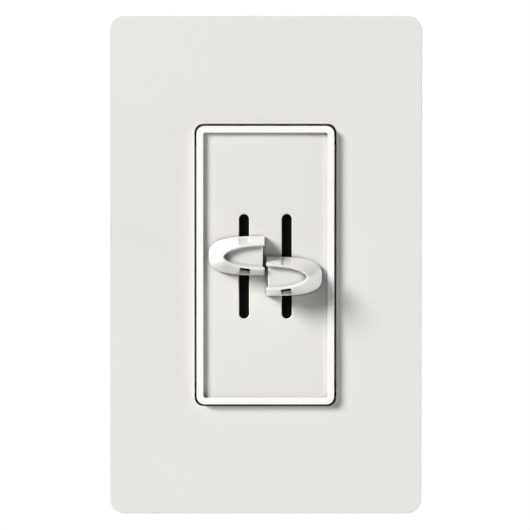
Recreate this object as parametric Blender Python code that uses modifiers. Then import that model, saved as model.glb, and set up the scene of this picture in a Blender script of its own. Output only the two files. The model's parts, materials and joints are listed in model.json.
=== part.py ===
"""A wall dimmer with two slide controls, behind a screwless wall plate.

Metres, +Z up. The wall's surface is the plane y = 0: the room is at -Y and the wall box at +Y.
The origin is on the wall's surface, at the middle of the wall plate.
Run it with: blender --background --python part.py
"""

import math

import bmesh
import bpy
from mathutils import Matrix, Vector

# Driving dimensions -----------------------------------------------------------------------------

GAP = 0.0003  # between neighbours that rest on each other
PAST = 0.0010  # how far a cutter runs past the wall it cuts
OVERLAP = 0.0002  # how far joined shapes run into each other

PLATE_WIDTH, PLATE_HEIGHT, PLATE_DEPTH = 0.0747, 0.1191, 0.0076
PLATE_CORNER, PLATE_WALL, PLATE_EDGE = 0.0036, 0.0018, 0.00025
OPENING_WIDTH, OPENING_HEIGHT, OPENING_CORNER = 0.0339, 0.0675, 0.0021

BEZEL_SIDE_GAP = 0.00054
BEZEL_PROUD = 0.0017  # how far the rim stands in front of the plate
RIM_WIDTH, FACE_RECESS, FACE_THICKNESS, BEZEL_WALL = 0.00155, 0.0010, 0.0014, 0.0012
SLOT_X, SLOT_Z, SLOT_WIDTH, SLOT_LENGTH = 0.0051, -0.0003, 0.0024, 0.0250

STEM_HEIGHT, STEM_WIDTH, STEM_ROOM = 0.0048, 0.0018, 0.0006  # in the slot, with room at each round end
TENON_HEIGHT, TENON_LENGTH = 0.0036, 0.0036  # in the knob
TRAVEL = (SLOT_LENGTH - STEM_HEIGHT) / 2 - STEM_ROOM  # each way from the slot's middle
LEFT_REST_Z, RIGHT_REST_Z = 0.0023, -0.0026

KNOB_LENGTH, KNOB_HALF_HEIGHT, KNOB_RISE, KNOB_SKIRT = 0.0133, 0.0047, 0.0078, 0.0009
SCOOP_LENGTH, SCOOP_HALF_HEIGHT, SCOOP_DEPTH, CREST_WIDTH = 0.0097, 0.0027, 0.00135, 0.0004
KNOB_POWERS, CREST_POWERS = (3.0, 3.0), (2.3, 1.75)  # of each outline's curve, along it and across it
KNOB_CENTRE_GAP = 0.0002  # from the middle of the face to each knob's flat end
NOTCH_WIDTH, NOTCH_Z, SLIT_Z, NOTCH_FLOOR, NOTCH_LEAN = 0.00245, 0.00275, 0.00335, 0.0013, math.radians(8)
NOTCH_MIDDLE_Z, NOTCH_SHIFT = 0.0035, 0.0002  # where each notch leans round, and how far it stands off the slot
SLIT_INSET, GROOVE_DEPTH, GROOVE_MARGIN = 0.00006, 0.00015, 0.00063

BOX_SCREW_Z, PLATE_SCREW_Z = 0.04165, 0.0484
YOKE_THICKNESS, YOKE_WIDTH, YOKE_HEIGHT = 0.0016, 0.0445, 0.1050
FIN_WIDTH, FIN_HEIGHT, FIN_GROOVE = 0.0640, 0.0740, 0.0008

HOUSING_WIDTH, HOUSING_HEIGHT, HOUSING_DEPTH, HOUSING_WALL = 0.0430, 0.0686, 0.0285, 0.0015
HOUSING_SCREW_X, HOUSING_SCREW_Z, HOUSING_BOSS = 0.0174, 0.0302, 0.0073

# Depths, as places on Y --------------------------------------------------------------------------

PLATE_FRONT_Y = -PLATE_DEPTH
PLATE_INSIDE_Y = PLATE_FRONT_Y + PLATE_WALL
RIM_Y = PLATE_FRONT_Y - BEZEL_PROUD
FACE_Y = RIM_Y + FACE_RECESS
FACE_BACK_Y = FACE_Y + FACE_THICKNESS
KNOB_BASE_Y = FACE_Y - GAP
KNOB_CREST_Y = KNOB_BASE_Y - KNOB_RISE
YOKE_FRONT_Y = -YOKE_THICKNESS
SEAT_Y = YOKE_FRONT_Y - GAP  # where a piece rests on the yoke's front
BACK_SEAT_Y = GAP  # where a piece rests on the yoke's back
ADAPTER_FRONT_Y = SEAT_Y - 0.0020
ADAPTER_COLLAR_Y = PLATE_INSIDE_Y + GAP

SHUTTER_FRONT_Y = FACE_BACK_Y + GAP
SHUTTER_BACK_Y = SHUTTER_FRONT_Y + 0.0010
GUIDE_FRONT_Y = SHUTTER_BACK_Y + GAP
LEG_BACK_Y = 0.0031
POT_FRONT_Y, POT_BACK_Y = 0.0034, 0.0094
TRACK_FRONT_Y, TRACK_BACK_Y = 0.0080, 0.0088
BOARD_FRONT_Y = POT_BACK_Y + GAP
BOARD_BACK_Y = BOARD_FRONT_Y + 0.0016
PARTS_Y = BOARD_BACK_Y + GAP  # where the tall parts stand on the board's back
LEDGE_Y = BOARD_BACK_Y + GAP
HOUSING_BACK_Y = BACK_SEAT_Y + HOUSING_DEPTH
SCREW_SEAT_Y = 0.0090  # floor of the housing's counterbores

# Sizes of the smaller pieces ---------------------------------------------------------------------

BEZEL_WIDTH = OPENING_WIDTH - 2 * BEZEL_SIDE_GAP
BEZEL_HEIGHT = OPENING_HEIGHT - 2 * BEZEL_SIDE_GAP
BEZEL_CORNER = OPENING_CORNER - BEZEL_SIDE_GAP / 2
BEZEL_EDGE = 0.0002
HOOK_X, HOOK_Z = (BEZEL_WIDTH - BEZEL_WALL) / 2, 0.0100
HOOK_THICK, HOOK_LENGTH, HOOK_BARB = 0.0008, 0.0040, 0.0007

ADAPTER_WIDTH, ADAPTER_HEIGHT, ADAPTER_CORNER = 0.0690, 0.1130, 0.0030
ADAPTER_OPENING_SIDE, ADAPTER_COLLAR, ADAPTER_WINDOW_R = 0.0005, 0.0012, 0.0052
SNAP_LENGTH, SNAP_DEPTH, SNAP_ROWS = 0.0080, 0.0008, (-0.0360, 0.0360)

SHUTTER_WIDTH = 0.0076
SHUTTER_HALF = SLOT_LENGTH / 2 + TRAVEL
RAIL_THICK = 0.0014
LEG_WIDTH, LEG_HEIGHT, TOE_LENGTH, TOE_THICK = 0.0030, 0.0050, 0.0008, 0.0005
FORK_Y, LEVER_HEIGHT, LEVER_WIDTH = 0.0005, 0.0020, 0.0018
LEG_ROOM = 0.0005  # free space at each end of a leg's travel

POT_WIDTH, POT_LENGTH, POT_WALL, POT_SLOT = 0.0082, 0.0300, 0.0006, 0.0024
WIPER_WIDTH, WIPER_HEIGHT, WIPER_FRONT_Y, WIPER_BACK_Y = 0.0058, 0.0052, 0.0045, 0.0070

LEAF_Y, LEAF_THICK, LEAF_WIDTH = 0.00230, 0.00025, 0.0030
LEAF_ROOT_Z, LEAF_HINGE_Z, LEAF_BEND_Z, LEAF_TIP_Z, LEAF_LIFT = -0.0282, -0.0270, -0.0145, -0.0127, 0.0006
CONTACT_Z, CONTACT_R, CONTACT_THICK = -0.0200, 0.0010, 0.0004

TRIAC_X, TRIAC_HOLE_Z, TRIAC_WIDTH = 0.0076, 0.0285, 0.0100
TRIAC_TOP_Z, TRIAC_SHOULDER_Z, TRIAC_FOOT_Z = 0.0322, 0.0262, 0.0172
TRIAC_TAB_THICK, TRIAC_THICK, LEAD_PITCH, LEAD_SIZE = 0.0012, 0.0044, 0.00254, 0.0007
PAD_THICK = 0.0003

CHOKE_X, CHOKE_Z, CHOKE_CORE_R, CHOKE_HOLE_R, CHOKE_HEIGHT = 0.0076, -0.0220, 0.0062, 0.0037, 0.0050
WINDING_WALL, WINDING_TURN = 0.0008, math.radians(300)

TERMINAL_Z, BAY_HALF, BAY_FRONT_Y, BAY_BACK_Y, BAY_FLOOR_X = 0.0140, 0.0048, 0.0132, 0.0232, 0.0169
TERMINAL_Y = (BAY_FRONT_Y + BAY_BACK_Y) / 2
BAY_WALL = 0.0010

SIDES = (("left", -1, LEFT_REST_Z), ("right", 1, RIGHT_REST_Z))
ENDS = (("top", 1), ("bottom", -1))
CORNERS = (("top_left", -1, 1), ("top_right", 1, 1), ("bottom_left", -1, -1), ("bottom_right", 1, -1))
TERMINALS = (("line", -1, 1), ("load_one", 1, 1), ("load_two", 1, -1))


# The scene ---------------------------------------------------------------------------------------


def clear_scene():
    for thing in list(bpy.data.objects):
        bpy.data.objects.remove(thing)


def new_collection(name, hidden=False):
    collection = bpy.data.collections.new(name)
    collection.hide_render = hidden
    bpy.context.scene.collection.children.link(collection)
    return collection


clear_scene()
PARTS = new_collection("dual_slide_dimmer")
CUTTERS = new_collection("cutters", hidden=True)


def make_material(name, colour, roughness, metallic=0.0):
    material = bpy.data.materials.new(name)
    material.use_nodes = True
    shader = material.node_tree.nodes["Principled BSDF"]
    shader.inputs["Base Color"].default_value = (*colour, 1.0)
    shader.inputs["Roughness"].default_value = roughness
    shader.inputs["Metallic"].default_value = metallic
    material.diffuse_color = (*colour, 1.0)
    return material


WHITE = make_material("white_gloss_plastic", (0.80, 0.79, 0.76), 0.30)
BLACK = make_material("black_plastic", (0.016, 0.016, 0.018), 0.50)
HOUSING_BLACK = make_material("housing_plastic", (0.022, 0.022, 0.024), 0.60)
ALUMINIUM = make_material("yoke_aluminium", (0.72, 0.73, 0.74), 0.38, 1.0)
ZINC = make_material("zinc_steel", (0.62, 0.62, 0.60), 0.35, 1.0)
BRASS = make_material("terminal_brass", (0.72, 0.53, 0.24), 0.35, 1.0)
GREEN = make_material("green_screw", (0.03, 0.24, 0.08), 0.35, 0.6)
COPPER = make_material("copper_wire", (0.66, 0.27, 0.10), 0.35, 0.9)
FERRITE = make_material("ferrite", (0.05, 0.05, 0.055), 0.65)
BOARD = make_material("board_laminate", (0.03, 0.17, 0.07), 0.45)
PHENOLIC = make_material("track_board", (0.20, 0.11, 0.05), 0.50)
EPOXY = make_material("triac_epoxy", (0.02, 0.02, 0.02), 0.55)
YELLOW = make_material("capacitor_yellow", (0.70, 0.48, 0.06), 0.40)
TAN = make_material("resistor_tan", (0.62, 0.47, 0.28), 0.45)
FIBRE = make_material("fibre_sheet", (0.42, 0.20, 0.10), 0.75)
PAD = make_material("thermal_pad", (0.55, 0.55, 0.58), 0.80)


# Outlines, as lists of points ----------------------------------------------------------------------


def arc(centre, radius, start, end, steps):
    """Points along an arc, both ends included; angles in degrees."""
    angles = [math.radians(start + (end - start) * i / steps) for i in range(steps + 1)]
    return [(centre[0] + radius * math.cos(a), centre[1] + radius * math.sin(a)) for a in angles]


def rounded(width, height, radius, centre=(0.0, 0.0), steps=4):
    """A rectangle with round corners, counter-clockwise."""
    a, b = width / 2 - radius, height / 2 - radius
    corners = ((a, b, 0), (-a, b, 90), (-a, -b, 180), (a, -b, 270))
    points = []
    for x, y, start in corners:
        points += arc((centre[0] + x, centre[1] + y), radius, start, start + 90, steps)
    return points


def rectangle(x_low, x_high, y_low, y_high):
    return [(x_low, y_low), (x_high, y_low), (x_high, y_high), (x_low, y_high)]


def circle(radius, centre=(0.0, 0.0), steps=16):
    return arc(centre, radius, 0, 360 * (steps - 1) / steps, steps - 1)


def obround(length, width, centre, upright, steps=6):
    """A slot with round ends."""
    half, radius = (length - width) / 2, width / 2
    if upright:
        return arc((centre[0], centre[1] + half), radius, 0, 180, steps) + arc(
            (centre[0], centre[1] - half), radius, 180, 360, steps
        )
    return arc((centre[0] + half, centre[1]), radius, -90, 90, steps) + arc(
        (centre[0] - half, centre[1]), radius, 90, 270, steps
    )


def notched(half_x, half_z, notch_x, notch_z, bay_depth=0.0):
    """A rectangle with its corners cut square, and with a step inwards at each terminal bay."""
    quarter = [(half_x, 0.0)]
    if bay_depth:
        low, high = TERMINAL_Z - BAY_HALF - BAY_WALL, TERMINAL_Z + BAY_HALF + BAY_WALL
        inner = half_x - bay_depth
        quarter = [(half_x, 0.0), (half_x, low), (inner, low), (inner, high), (half_x, high)]
    quarter += [(half_x, half_z - notch_z), (half_x - notch_x, half_z - notch_z), (half_x - notch_x, half_z)]
    top = quarter + [(-x, z) for x, z in reversed(quarter)]
    return top + [(x, -z) for x, z in reversed(top[1:-1])]


def half_superellipse(length, half_height, powers, steps=22):
    """The curved side of a knob outline: from (0, -half_height) round its tip to (0, half_height).

    It follows (along / length) ** powers[0] + (across / half_height) ** powers[1] = 1.
    """
    points = []
    for i in range(steps + 1):
        angle = math.radians(-90 + 180 * i / steps)
        along = length * max(math.cos(angle), 0.0) ** (2 / powers[0])
        across = math.copysign(half_height * abs(math.sin(angle)) ** (2 / powers[1]), angle)
        points.append((along, across))
    return points


# Solids ------------------------------------------------------------------------------------------

TURNS = {
    "X": Matrix(((0, 0, 1, 0), (1, 0, 0, 0), (0, 1, 0, 0), (0, 0, 0, 1))),
    "Y": Matrix.Rotation(math.pi / 2, 4, "X"),
    "Z": Matrix.Identity(4),
}
SLANT = Matrix.Rotation(math.radians(23.7), 4, "Z")


def place(name, mesh, material):
    """A new object: a part if it has a material, and a cutter or a joined shape if it has none."""
    thing = bpy.data.objects.new(name, mesh)
    if material is None:
        CUTTERS.objects.link(thing)
        thing.hide_render = True
        thing.display_type = "WIRE"
        return thing
    PARTS.objects.link(thing)
    mesh.materials.append(material)
    return thing


def face_out(work):
    """Turns a closed mesh's faces out."""
    bmesh.ops.recalc_face_normals(work, faces=work.faces)
    if work.calc_volume(signed=True) < 0:
        bmesh.ops.reverse_faces(work, faces=work.faces)


def tidy(mesh, matrix):
    """Welds a filled outline's loose caps, moves it, drops the fill's empty faces, and turns the rest out.

    Its corners go on a 0.1 micron grid, so that walls meant to be level stay level.
    """
    work = bmesh.new()
    work.from_mesh(mesh)
    bmesh.ops.remove_doubles(work, verts=work.verts, dist=1e-6)
    work.transform(matrix)
    for vert in work.verts:
        vert.co = [round(value, 7) for value in vert.co]
    bmesh.ops.dissolve_degenerate(work, edges=work.edges, dist=1e-6)
    face_out(work)
    work.to_mesh(mesh)
    work.free()


def slab(name, loops, axis, low, high, material=None):
    """A flat outline, with any further loops as holes, made solid from low to high along an axis.

    The outline's two numbers are (x, z) for axis Y, (y, z) for axis X and (x, y) for axis Z.
    It is filled at a slant, because a fill leaves cracks where many corners are exactly level.
    """
    curve = bpy.data.curves.new(name, "CURVE")
    curve.dimensions = "2D"
    curve.fill_mode = "BOTH"
    curve.extrude = (high - low) / 2
    for loop in loops:
        spline = curve.splines.new("POLY")
        spline.points.add(len(loop) - 1)
        for point, (a, b) in zip(spline.points, loop):
            point.co = (*(SLANT @ Vector((a, b, 0.0))), 1.0)
        spline.use_cyclic_u = True
    outline = bpy.data.objects.new(name + "_outline", curve)
    CUTTERS.objects.link(outline)
    bpy.context.view_layer.update()
    graph = bpy.context.evaluated_depsgraph_get()
    mesh = bpy.data.meshes.new_from_object(outline.evaluated_get(graph))
    bpy.data.objects.remove(outline)
    bpy.data.curves.remove(curve)
    mesh.materials.clear()
    middle = Vector([(low + high) / 2 if letter == axis else 0.0 for letter in "XYZ"])
    tidy(mesh, Matrix.Translation(middle) @ TURNS[axis] @ SLANT.inverted())
    return place(name, mesh, material)


def block(name, xs, ys, zs, material=None):
    """A box between two places on each axis."""
    mesh = bpy.data.meshes.new(name)
    work = bmesh.new()
    size = Matrix.Diagonal((xs[1] - xs[0], ys[1] - ys[0], zs[1] - zs[0], 1.0))
    middle = Matrix.Translation((sum(xs) / 2, sum(ys) / 2, sum(zs) / 2))
    bmesh.ops.create_cube(work, size=1.0, matrix=middle @ size)
    work.to_mesh(mesh)
    work.free()
    return place(name, mesh, material)


def rod(name, radius, axis, centre, low, high, material=None, steps=16, end_radius=None):
    """A cylinder or cone from low to high along an axis; centre gives its other two numbers, as slab does."""
    mesh = bpy.data.meshes.new(name)
    work = bmesh.new()
    first, last = radius, radius if end_radius is None else end_radius
    # On axis Y the turn points the cone's own +Z along -Y, so its ends change places.
    if axis == "Y":
        first, last = last, first
    bmesh.ops.create_cone(
        work, cap_ends=True, segments=steps, radius1=first, radius2=last, depth=high - low
    )
    offset = {"X": (0.0, *centre), "Y": (centre[0], 0.0, centre[1]), "Z": (*centre, 0.0)}[axis]
    middle = Vector([(low + high) / 2 if letter == axis else 0.0 for letter in "XYZ"])
    work.transform(Matrix.Translation(Vector(offset) + middle) @ TURNS[axis])
    work.to_mesh(mesh)
    work.free()
    return place(name, mesh, material)


def turned(name, profile, axis, centre, material, steps=16):
    """A profile of (radius, place along the axis) turned round the axis; places run from low to high."""
    flip = -1.0 if axis == "Y" else 1.0
    points = [(radius, 0.0, flip * along) for radius, along in profile]
    # A Screw at +X makes faces that point out when its profile runs from the top down.
    if points[0][2] < points[-1][2]:
        points.reverse()
    mesh = bpy.data.meshes.new(name)
    mesh.from_pydata(points, [(i, i + 1) for i in range(len(points) - 1)], [])
    thing = place(name, mesh, material)
    offset = {"X": (0.0, *centre), "Y": (centre[0], 0.0, centre[1]), "Z": (*centre, 0.0)}[axis]
    thing.matrix_world = Matrix.Translation(offset) @ TURNS[axis]
    screw = thing.modifiers.new("turn", "SCREW")
    screw.steps = screw.render_steps = steps
    screw.use_merge_vertices = True
    screw.merge_threshold = 1e-6
    return thing


def boolean(thing, operation, *others):
    for other in others:
        modifier = thing.modifiers.new(other.name, "BOOLEAN")
        modifier.operation = operation
        modifier.solver = "EXACT"
        modifier.object = other
    return thing


def cut(thing, *cutters):
    return boolean(thing, "DIFFERENCE", *cutters)


def join(thing, *shapes):
    return boolean(thing, "UNION", *shapes)


def round_edges(thing, y, width, segments=2):
    """Rounds the outline edge of a slab at one depth, before any cut."""
    mesh = thing.data
    weights = mesh.attributes.new("bevel_weight_edge", "FLOAT", "EDGE")
    for edge in mesh.edges:
        ends = [mesh.vertices[i].co for i in edge.vertices]
        faces = [f for f in mesh.polygons if set(edge.vertices) <= set(f.vertices)]
        flat = all(abs(f.normal.y) > 0.5 for f in faces)
        if all(abs(end.y - y) < 1e-6 for end in ends) and not flat:
            weights.data[edge.index].value = 1.0
    bevel = thing.modifiers.new("round_edge", "BEVEL")
    bevel.limit_method = "WEIGHT"
    bevel.width = width
    bevel.segments = segments
    return thing


def slide_axis(name, location, pieces):
    """An empty on a joint's axis that carries the pieces of one moving body."""
    axis = bpy.data.objects.new(name, None)
    axis.location = location
    axis.empty_display_size = 0.005
    PARTS.objects.link(axis)
    bpy.context.view_layer.update()
    for piece in pieces:
        piece.parent = axis
        piece.matrix_parent_inverse = axis.matrix_world.inverted()
    return axis


# The wall plate ------------------------------------------------------------------------------------


def make_cover():
    """The clip-on front of the screwless plate: a shallow tray with the device's opening."""
    outer = rounded(PLATE_WIDTH, PLATE_HEIGHT, PLATE_CORNER, steps=5)
    inner_corner = PLATE_CORNER - PLATE_WALL
    inner = rounded(PLATE_WIDTH - 2 * PLATE_WALL, PLATE_HEIGHT - 2 * PLATE_WALL, inner_corner)
    opening = rounded(OPENING_WIDTH, OPENING_HEIGHT, OPENING_CORNER)
    cover = slab("wallplate_cover", [outer], "Y", PLATE_FRONT_Y, 0.0, WHITE)
    round_edges(cover, PLATE_FRONT_Y, PLATE_EDGE)
    cavity = slab("cover_cavity", [inner], "Y", PLATE_INSIDE_Y, PAST)
    hole = slab("cover_opening", [opening], "Y", PLATE_FRONT_Y - PAST, PAST)
    cut(cover, cavity, hole)
    wall_x = PLATE_WIDTH / 2 - PLATE_WALL
    for row, z in enumerate(SNAP_ROWS):
        for side in (-1, 1):
            reach = sorted((side * (wall_x - SNAP_DEPTH), side * (wall_x + OVERLAP)))
            depth = (ADAPTER_COLLAR_Y, SEAT_Y - GAP)
            height = (z - SNAP_LENGTH / 2, z + SNAP_LENGTH / 2)
            join(cover, block(f"cover_catch_{row}_{side}", reach, depth, height))
    return cover


def make_adapter():
    """The carrier that screws to the yoke, and that the cover snaps over."""
    side = BEZEL_SIDE_GAP + ADAPTER_OPENING_SIDE
    width, height = BEZEL_WIDTH + 2 * side, BEZEL_HEIGHT + 2 * side
    corner = BEZEL_CORNER + side
    outer = rounded(ADAPTER_WIDTH, ADAPTER_HEIGHT, ADAPTER_CORNER)
    opening = rounded(width, height, corner)
    windows = [circle(ADAPTER_WINDOW_R, (0.0, end * BOX_SCREW_Z)) for _, end in ENDS]
    adapter = slab("wallplate_adapter", [outer, opening, *windows], "Y", ADAPTER_FRONT_Y, SEAT_Y, BLACK)
    collar_outer = rounded(width + 2 * ADAPTER_COLLAR, height + 2 * ADAPTER_COLLAR, corner + ADAPTER_COLLAR)
    # The collar stands beside the opening's edge, so that the two joined shapes share no face.
    step = OVERLAP
    collar_inner = rounded(width + 2 * step, height + 2 * step, corner + step)
    root_y = ADAPTER_FRONT_Y + OVERLAP
    join(adapter, slab("adapter_collar", [collar_outer, collar_inner], "Y", ADAPTER_COLLAR_Y, root_y))
    for row, z in enumerate(SNAP_ROWS):
        for side_x in (-1, 1):
            edge = ADAPTER_WIDTH / 2
            reach = sorted((side_x * (edge - 0.0022), side_x * (edge - 0.0006)))
            height_z = (z - SNAP_LENGTH / 2, z + SNAP_LENGTH / 2)
            join(adapter, block(f"adapter_tab_{row}_{side_x}", reach, (ADAPTER_COLLAR_Y, root_y), height_z))
    for name, end in ENDS:
        sink = [
            (0.0, ADAPTER_FRONT_Y - PAST), (0.0037, ADAPTER_FRONT_Y - PAST), (0.0037, ADAPTER_FRONT_Y),
            (0.0020, SEAT_Y - 0.0003), (0.0020, SEAT_Y + PAST), (0.0, SEAT_Y + PAST),
        ]
        cut(adapter, turned(f"adapter_sink_{name}", sink, "Y", (0.0, end * PLATE_SCREW_Z), None))
    return adapter


# Screws ------------------------------------------------------------------------------------------


def drive_cross(name, axis, centre, low, high, reach=0.0019, width=0.0009):
    """The cutters of a cross recess in a screw's head."""
    half = width / 2
    if axis == "Y":
        x, z = centre
        wide = block(name + "_a", (x - reach, x + reach), (low, high), (z - half, z + half))
        tall = block(name + "_b", (x - half, x + half), (low, high), (z - reach, z + reach))
    else:
        y, z = centre
        wide = block(name + "_a", (low, high), (y - reach, y + reach), (z - half, z + half))
        tall = block(name + "_b", (low, high), (y - half, y + half), (z - reach, z + reach))
    return wide, tall


def make_adapter_screw(name, end):
    head_y, tip_y, shank_r = ADAPTER_FRONT_Y, 0.0048, 0.0016
    profile = [
        (0.0, head_y), (0.0033, head_y), (0.0033, head_y + 0.0002), (shank_r, head_y + 0.0017),
        (shank_r, tip_y - 0.0006), (shank_r * 0.7, tip_y), (0.0, tip_y),
    ]
    centre = (0.0, end * PLATE_SCREW_Z)
    screw = turned(f"adapter_screw_{name}", profile, "Y", centre, ZINC)
    slot = block(f"adapter_screw_slot_{name}", (-0.0040, 0.0040), (head_y - PAST, head_y + 0.0007),
                 (centre[1] - 0.0004, centre[1] + 0.0004))
    return cut(screw, slot)


def make_mounting_screw(name, end):
    """The long screw that holds the device to the wall box."""
    seat_y, tip_y, shank_r = SEAT_Y, 0.0225, 0.00165
    profile = [
        (0.0, seat_y - 0.0021), (0.0018, seat_y - 0.0020), (0.0030, seat_y - 0.0014), (0.0035, seat_y - 0.0005),
        (0.0035, seat_y), (shank_r, seat_y), (shank_r, tip_y - 0.0010), (shank_r * 0.6, tip_y), (0.0, tip_y),
    ]
    centre = (0.0, end * BOX_SCREW_Z)
    screw = turned(f"mounting_screw_{name}", profile, "Y", centre, ZINC)
    return cut(screw, *drive_cross(f"mounting_drive_{name}", "Y", centre, seat_y - 0.0030, seat_y - 0.0009))


def make_retainer(name, end):
    """The fibre washer that keeps a mounting screw from falling out."""
    centre = (0.0, end * BOX_SCREW_Z)
    loops = [rounded(0.0092, 0.0092, 0.0010, centre, steps=2), circle(0.0020, centre)]
    return slab(f"screw_retainer_{name}", loops, "Y", BACK_SEAT_Y, BACK_SEAT_Y + 0.0006, FIBRE)


def make_ground_screw():
    """The green hexagon screw for the earth wire, driven into the yoke from behind."""
    centre = (-0.0150, -0.0395)
    head = rod("ground_screw", 0.0030, "Y", centre, BACK_SEAT_Y + 0.0006, BACK_SEAT_Y + 0.0026, GREEN, steps=6)
    washer = rod("ground_screw_washer", 0.0040, "Y", centre, BACK_SEAT_Y, BACK_SEAT_Y + 0.0008)
    shank = rod("ground_screw_shank", 0.0017, "Y", centre, YOKE_FRONT_Y, BACK_SEAT_Y + 0.0004, steps=12)
    slot = block("ground_screw_slot", (centre[0] - 0.0050, centre[0] + 0.0050),
                 (BACK_SEAT_Y + 0.0016, BACK_SEAT_Y + 0.0040), (centre[1] - 0.0004, centre[1] + 0.0004))
    return cut(join(head, washer, shank), slot)


def make_housing_screw(name, side, end):
    """A thread-forming screw in a counterbore, from the housing's back into the yoke."""
    seat_y, shank_r = SCREW_SEAT_Y + GAP, 0.0013
    profile = [
        (0.0, YOKE_FRONT_Y), (shank_r * 0.6, YOKE_FRONT_Y), (shank_r, YOKE_FRONT_Y + 0.0006), (shank_r, seat_y),
        (0.0024, seat_y), (0.0024, seat_y + 0.0006), (0.0018, seat_y + 0.0014), (0.0, seat_y + 0.0016),
    ]
    centre = (side * HOUSING_SCREW_X, end * HOUSING_SCREW_Z)
    screw = turned(f"housing_screw_{name}", profile, "Y", centre, ZINC, steps=12)
    cross = drive_cross(f"housing_drive_{name}", "Y", centre, seat_y + 0.0008, seat_y + 0.0030, 0.0014, 0.0006)
    return cut(screw, *cross)


# The yoke ----------------------------------------------------------------------------------------


def leg_window(side, room, below=0.0):
    """The outline that a carriage's leg sweeps, with room round it, and more below it for a switch leaf."""
    low = SLOT_Z - TRAVEL - LEG_HEIGHT / 2 - LEG_ROOM - below
    high = SLOT_Z + TRAVEL + LEG_HEIGHT / 2 + LEG_ROOM
    half = LEG_WIDTH / 2 + room
    return rectangle(side * SLOT_X - half, side * SLOT_X + half, low, high)


def hook_windows(room):
    """The four holes that the bezel's hooks go through."""
    half_x, half_z = HOOK_THICK / 2 + HOOK_BARB / 2 + room, HOOK_LENGTH / 2 + room
    return [
        rectangle(sx * HOOK_X - half_x, sx * HOOK_X + half_x, sz * HOOK_Z - half_z, sz * HOOK_Z + half_z)
        for sx in (-1, 1)
        for sz in (-1, 1)
    ]


def yoke_outline():
    """A strap with chamfered ends and a wide cooling fin on each side."""
    strap, fin, top, fin_top, chamfer = YOKE_WIDTH / 2, FIN_WIDTH / 2, YOKE_HEIGHT / 2, FIN_HEIGHT / 2, 0.0050
    right = [
        (fin, 0.0), (fin, fin_top - 0.0020), (fin - 0.0020, fin_top), (strap, fin_top),
        (strap, top - chamfer), (strap - chamfer, top),
    ]
    half = right + [(-x, z) for x, z in reversed(right)]
    return half + [(x, -z) for x, z in reversed(half[1:-1])]


def make_yoke():
    """The aluminium strap: it fastens to the wall box and cools the triacs.

    Its fins snap off at the grooves.
    """
    loops = [yoke_outline(), *(leg_window(side, 0.0004) for _, side, _ in SIDES), *hook_windows(GAP / 2)]
    for _, end in ENDS:
        loops.append(obround(0.0072, 0.0044, (0.0, end * BOX_SCREW_Z), upright=False))
        loops.append(circle(0.0019, (0.0, end * PLATE_SCREW_Z)))
    loops += [circle(0.0017, (sx * HOUSING_SCREW_X, sz * HOUSING_SCREW_Z), 12) for _, sx, sz in CORNERS]
    loops += [circle(0.0018, (side * TRIAC_X, TRIAC_HOLE_Z), 12) for _, side, _ in SIDES]
    loops.append(circle(0.0020, (-0.0150, -0.0395), 12))
    yoke = slab("yoke", loops, "Y", YOKE_FRONT_Y, 0.0, ALUMINIUM)
    for side in (-1, 1):
        x, half = side * (YOKE_WIDTH / 2 + 0.0008), FIN_GROOVE / 2
        height = (-FIN_HEIGHT / 2 - PAST, FIN_HEIGHT / 2 + PAST)
        cut(yoke, block(f"fin_groove_{side}", (x - half, x + half), (-FIN_GROOVE, PAST), height))
    return yoke


# The front of the device ---------------------------------------------------------------------------


def make_bezel():
    """The white front: a rim round a sunk face with the two slots, and four hooks into the yoke."""
    outer = rounded(BEZEL_WIDTH, BEZEL_HEIGHT, BEZEL_CORNER)
    recess = rounded(BEZEL_WIDTH - 2 * RIM_WIDTH, BEZEL_HEIGHT - 2 * RIM_WIDTH, 0.0006, steps=2)
    inside = rounded(BEZEL_WIDTH - 2 * BEZEL_WALL, BEZEL_HEIGHT - 2 * BEZEL_WALL, 0.0008, steps=2)
    bezel = slab("front_bezel", [outer], "Y", RIM_Y, SEAT_Y, WHITE)
    round_edges(bezel, RIM_Y, BEZEL_EDGE)
    cut(bezel, slab("bezel_recess", [recess], "Y", RIM_Y - PAST, FACE_Y))
    cut(bezel, slab("bezel_inside", [inside], "Y", FACE_BACK_Y, SEAT_Y + PAST))
    for name, side, _ in SIDES:
        slot = obround(SLOT_LENGTH, SLOT_WIDTH, (side * SLOT_X, SLOT_Z), upright=True)
        cut(bezel, slab(f"bezel_slot_{name}", [slot], "Y", FACE_Y - PAST, FACE_BACK_Y + PAST))
    for sx in (-1, 1):
        for sz in (-1, 1):
            join(bezel, make_hook(sx, sz))
    return bezel


def make_hook(sx, sz):
    """One hook: a leg down from the bezel's wall, with a barb behind the yoke."""
    inner, outer = HOOK_X - HOOK_THICK / 2, HOOK_X + HOOK_THICK / 2
    barb_y = BACK_SEAT_Y
    profile = [
        (sx * inner, SEAT_Y - 0.0010), (sx * outer, SEAT_Y - 0.0010), (sx * outer, barb_y),
        (sx * (outer + HOOK_BARB), barb_y), (sx * outer, barb_y + 0.0012), (sx * inner, barb_y + 0.0012),
    ]
    z = sz * HOOK_Z
    return slab(f"bezel_hook_{sx}_{sz}", [profile], "Z", z - HOOK_LENGTH / 2, z + HOOK_LENGTH / 2)


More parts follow.
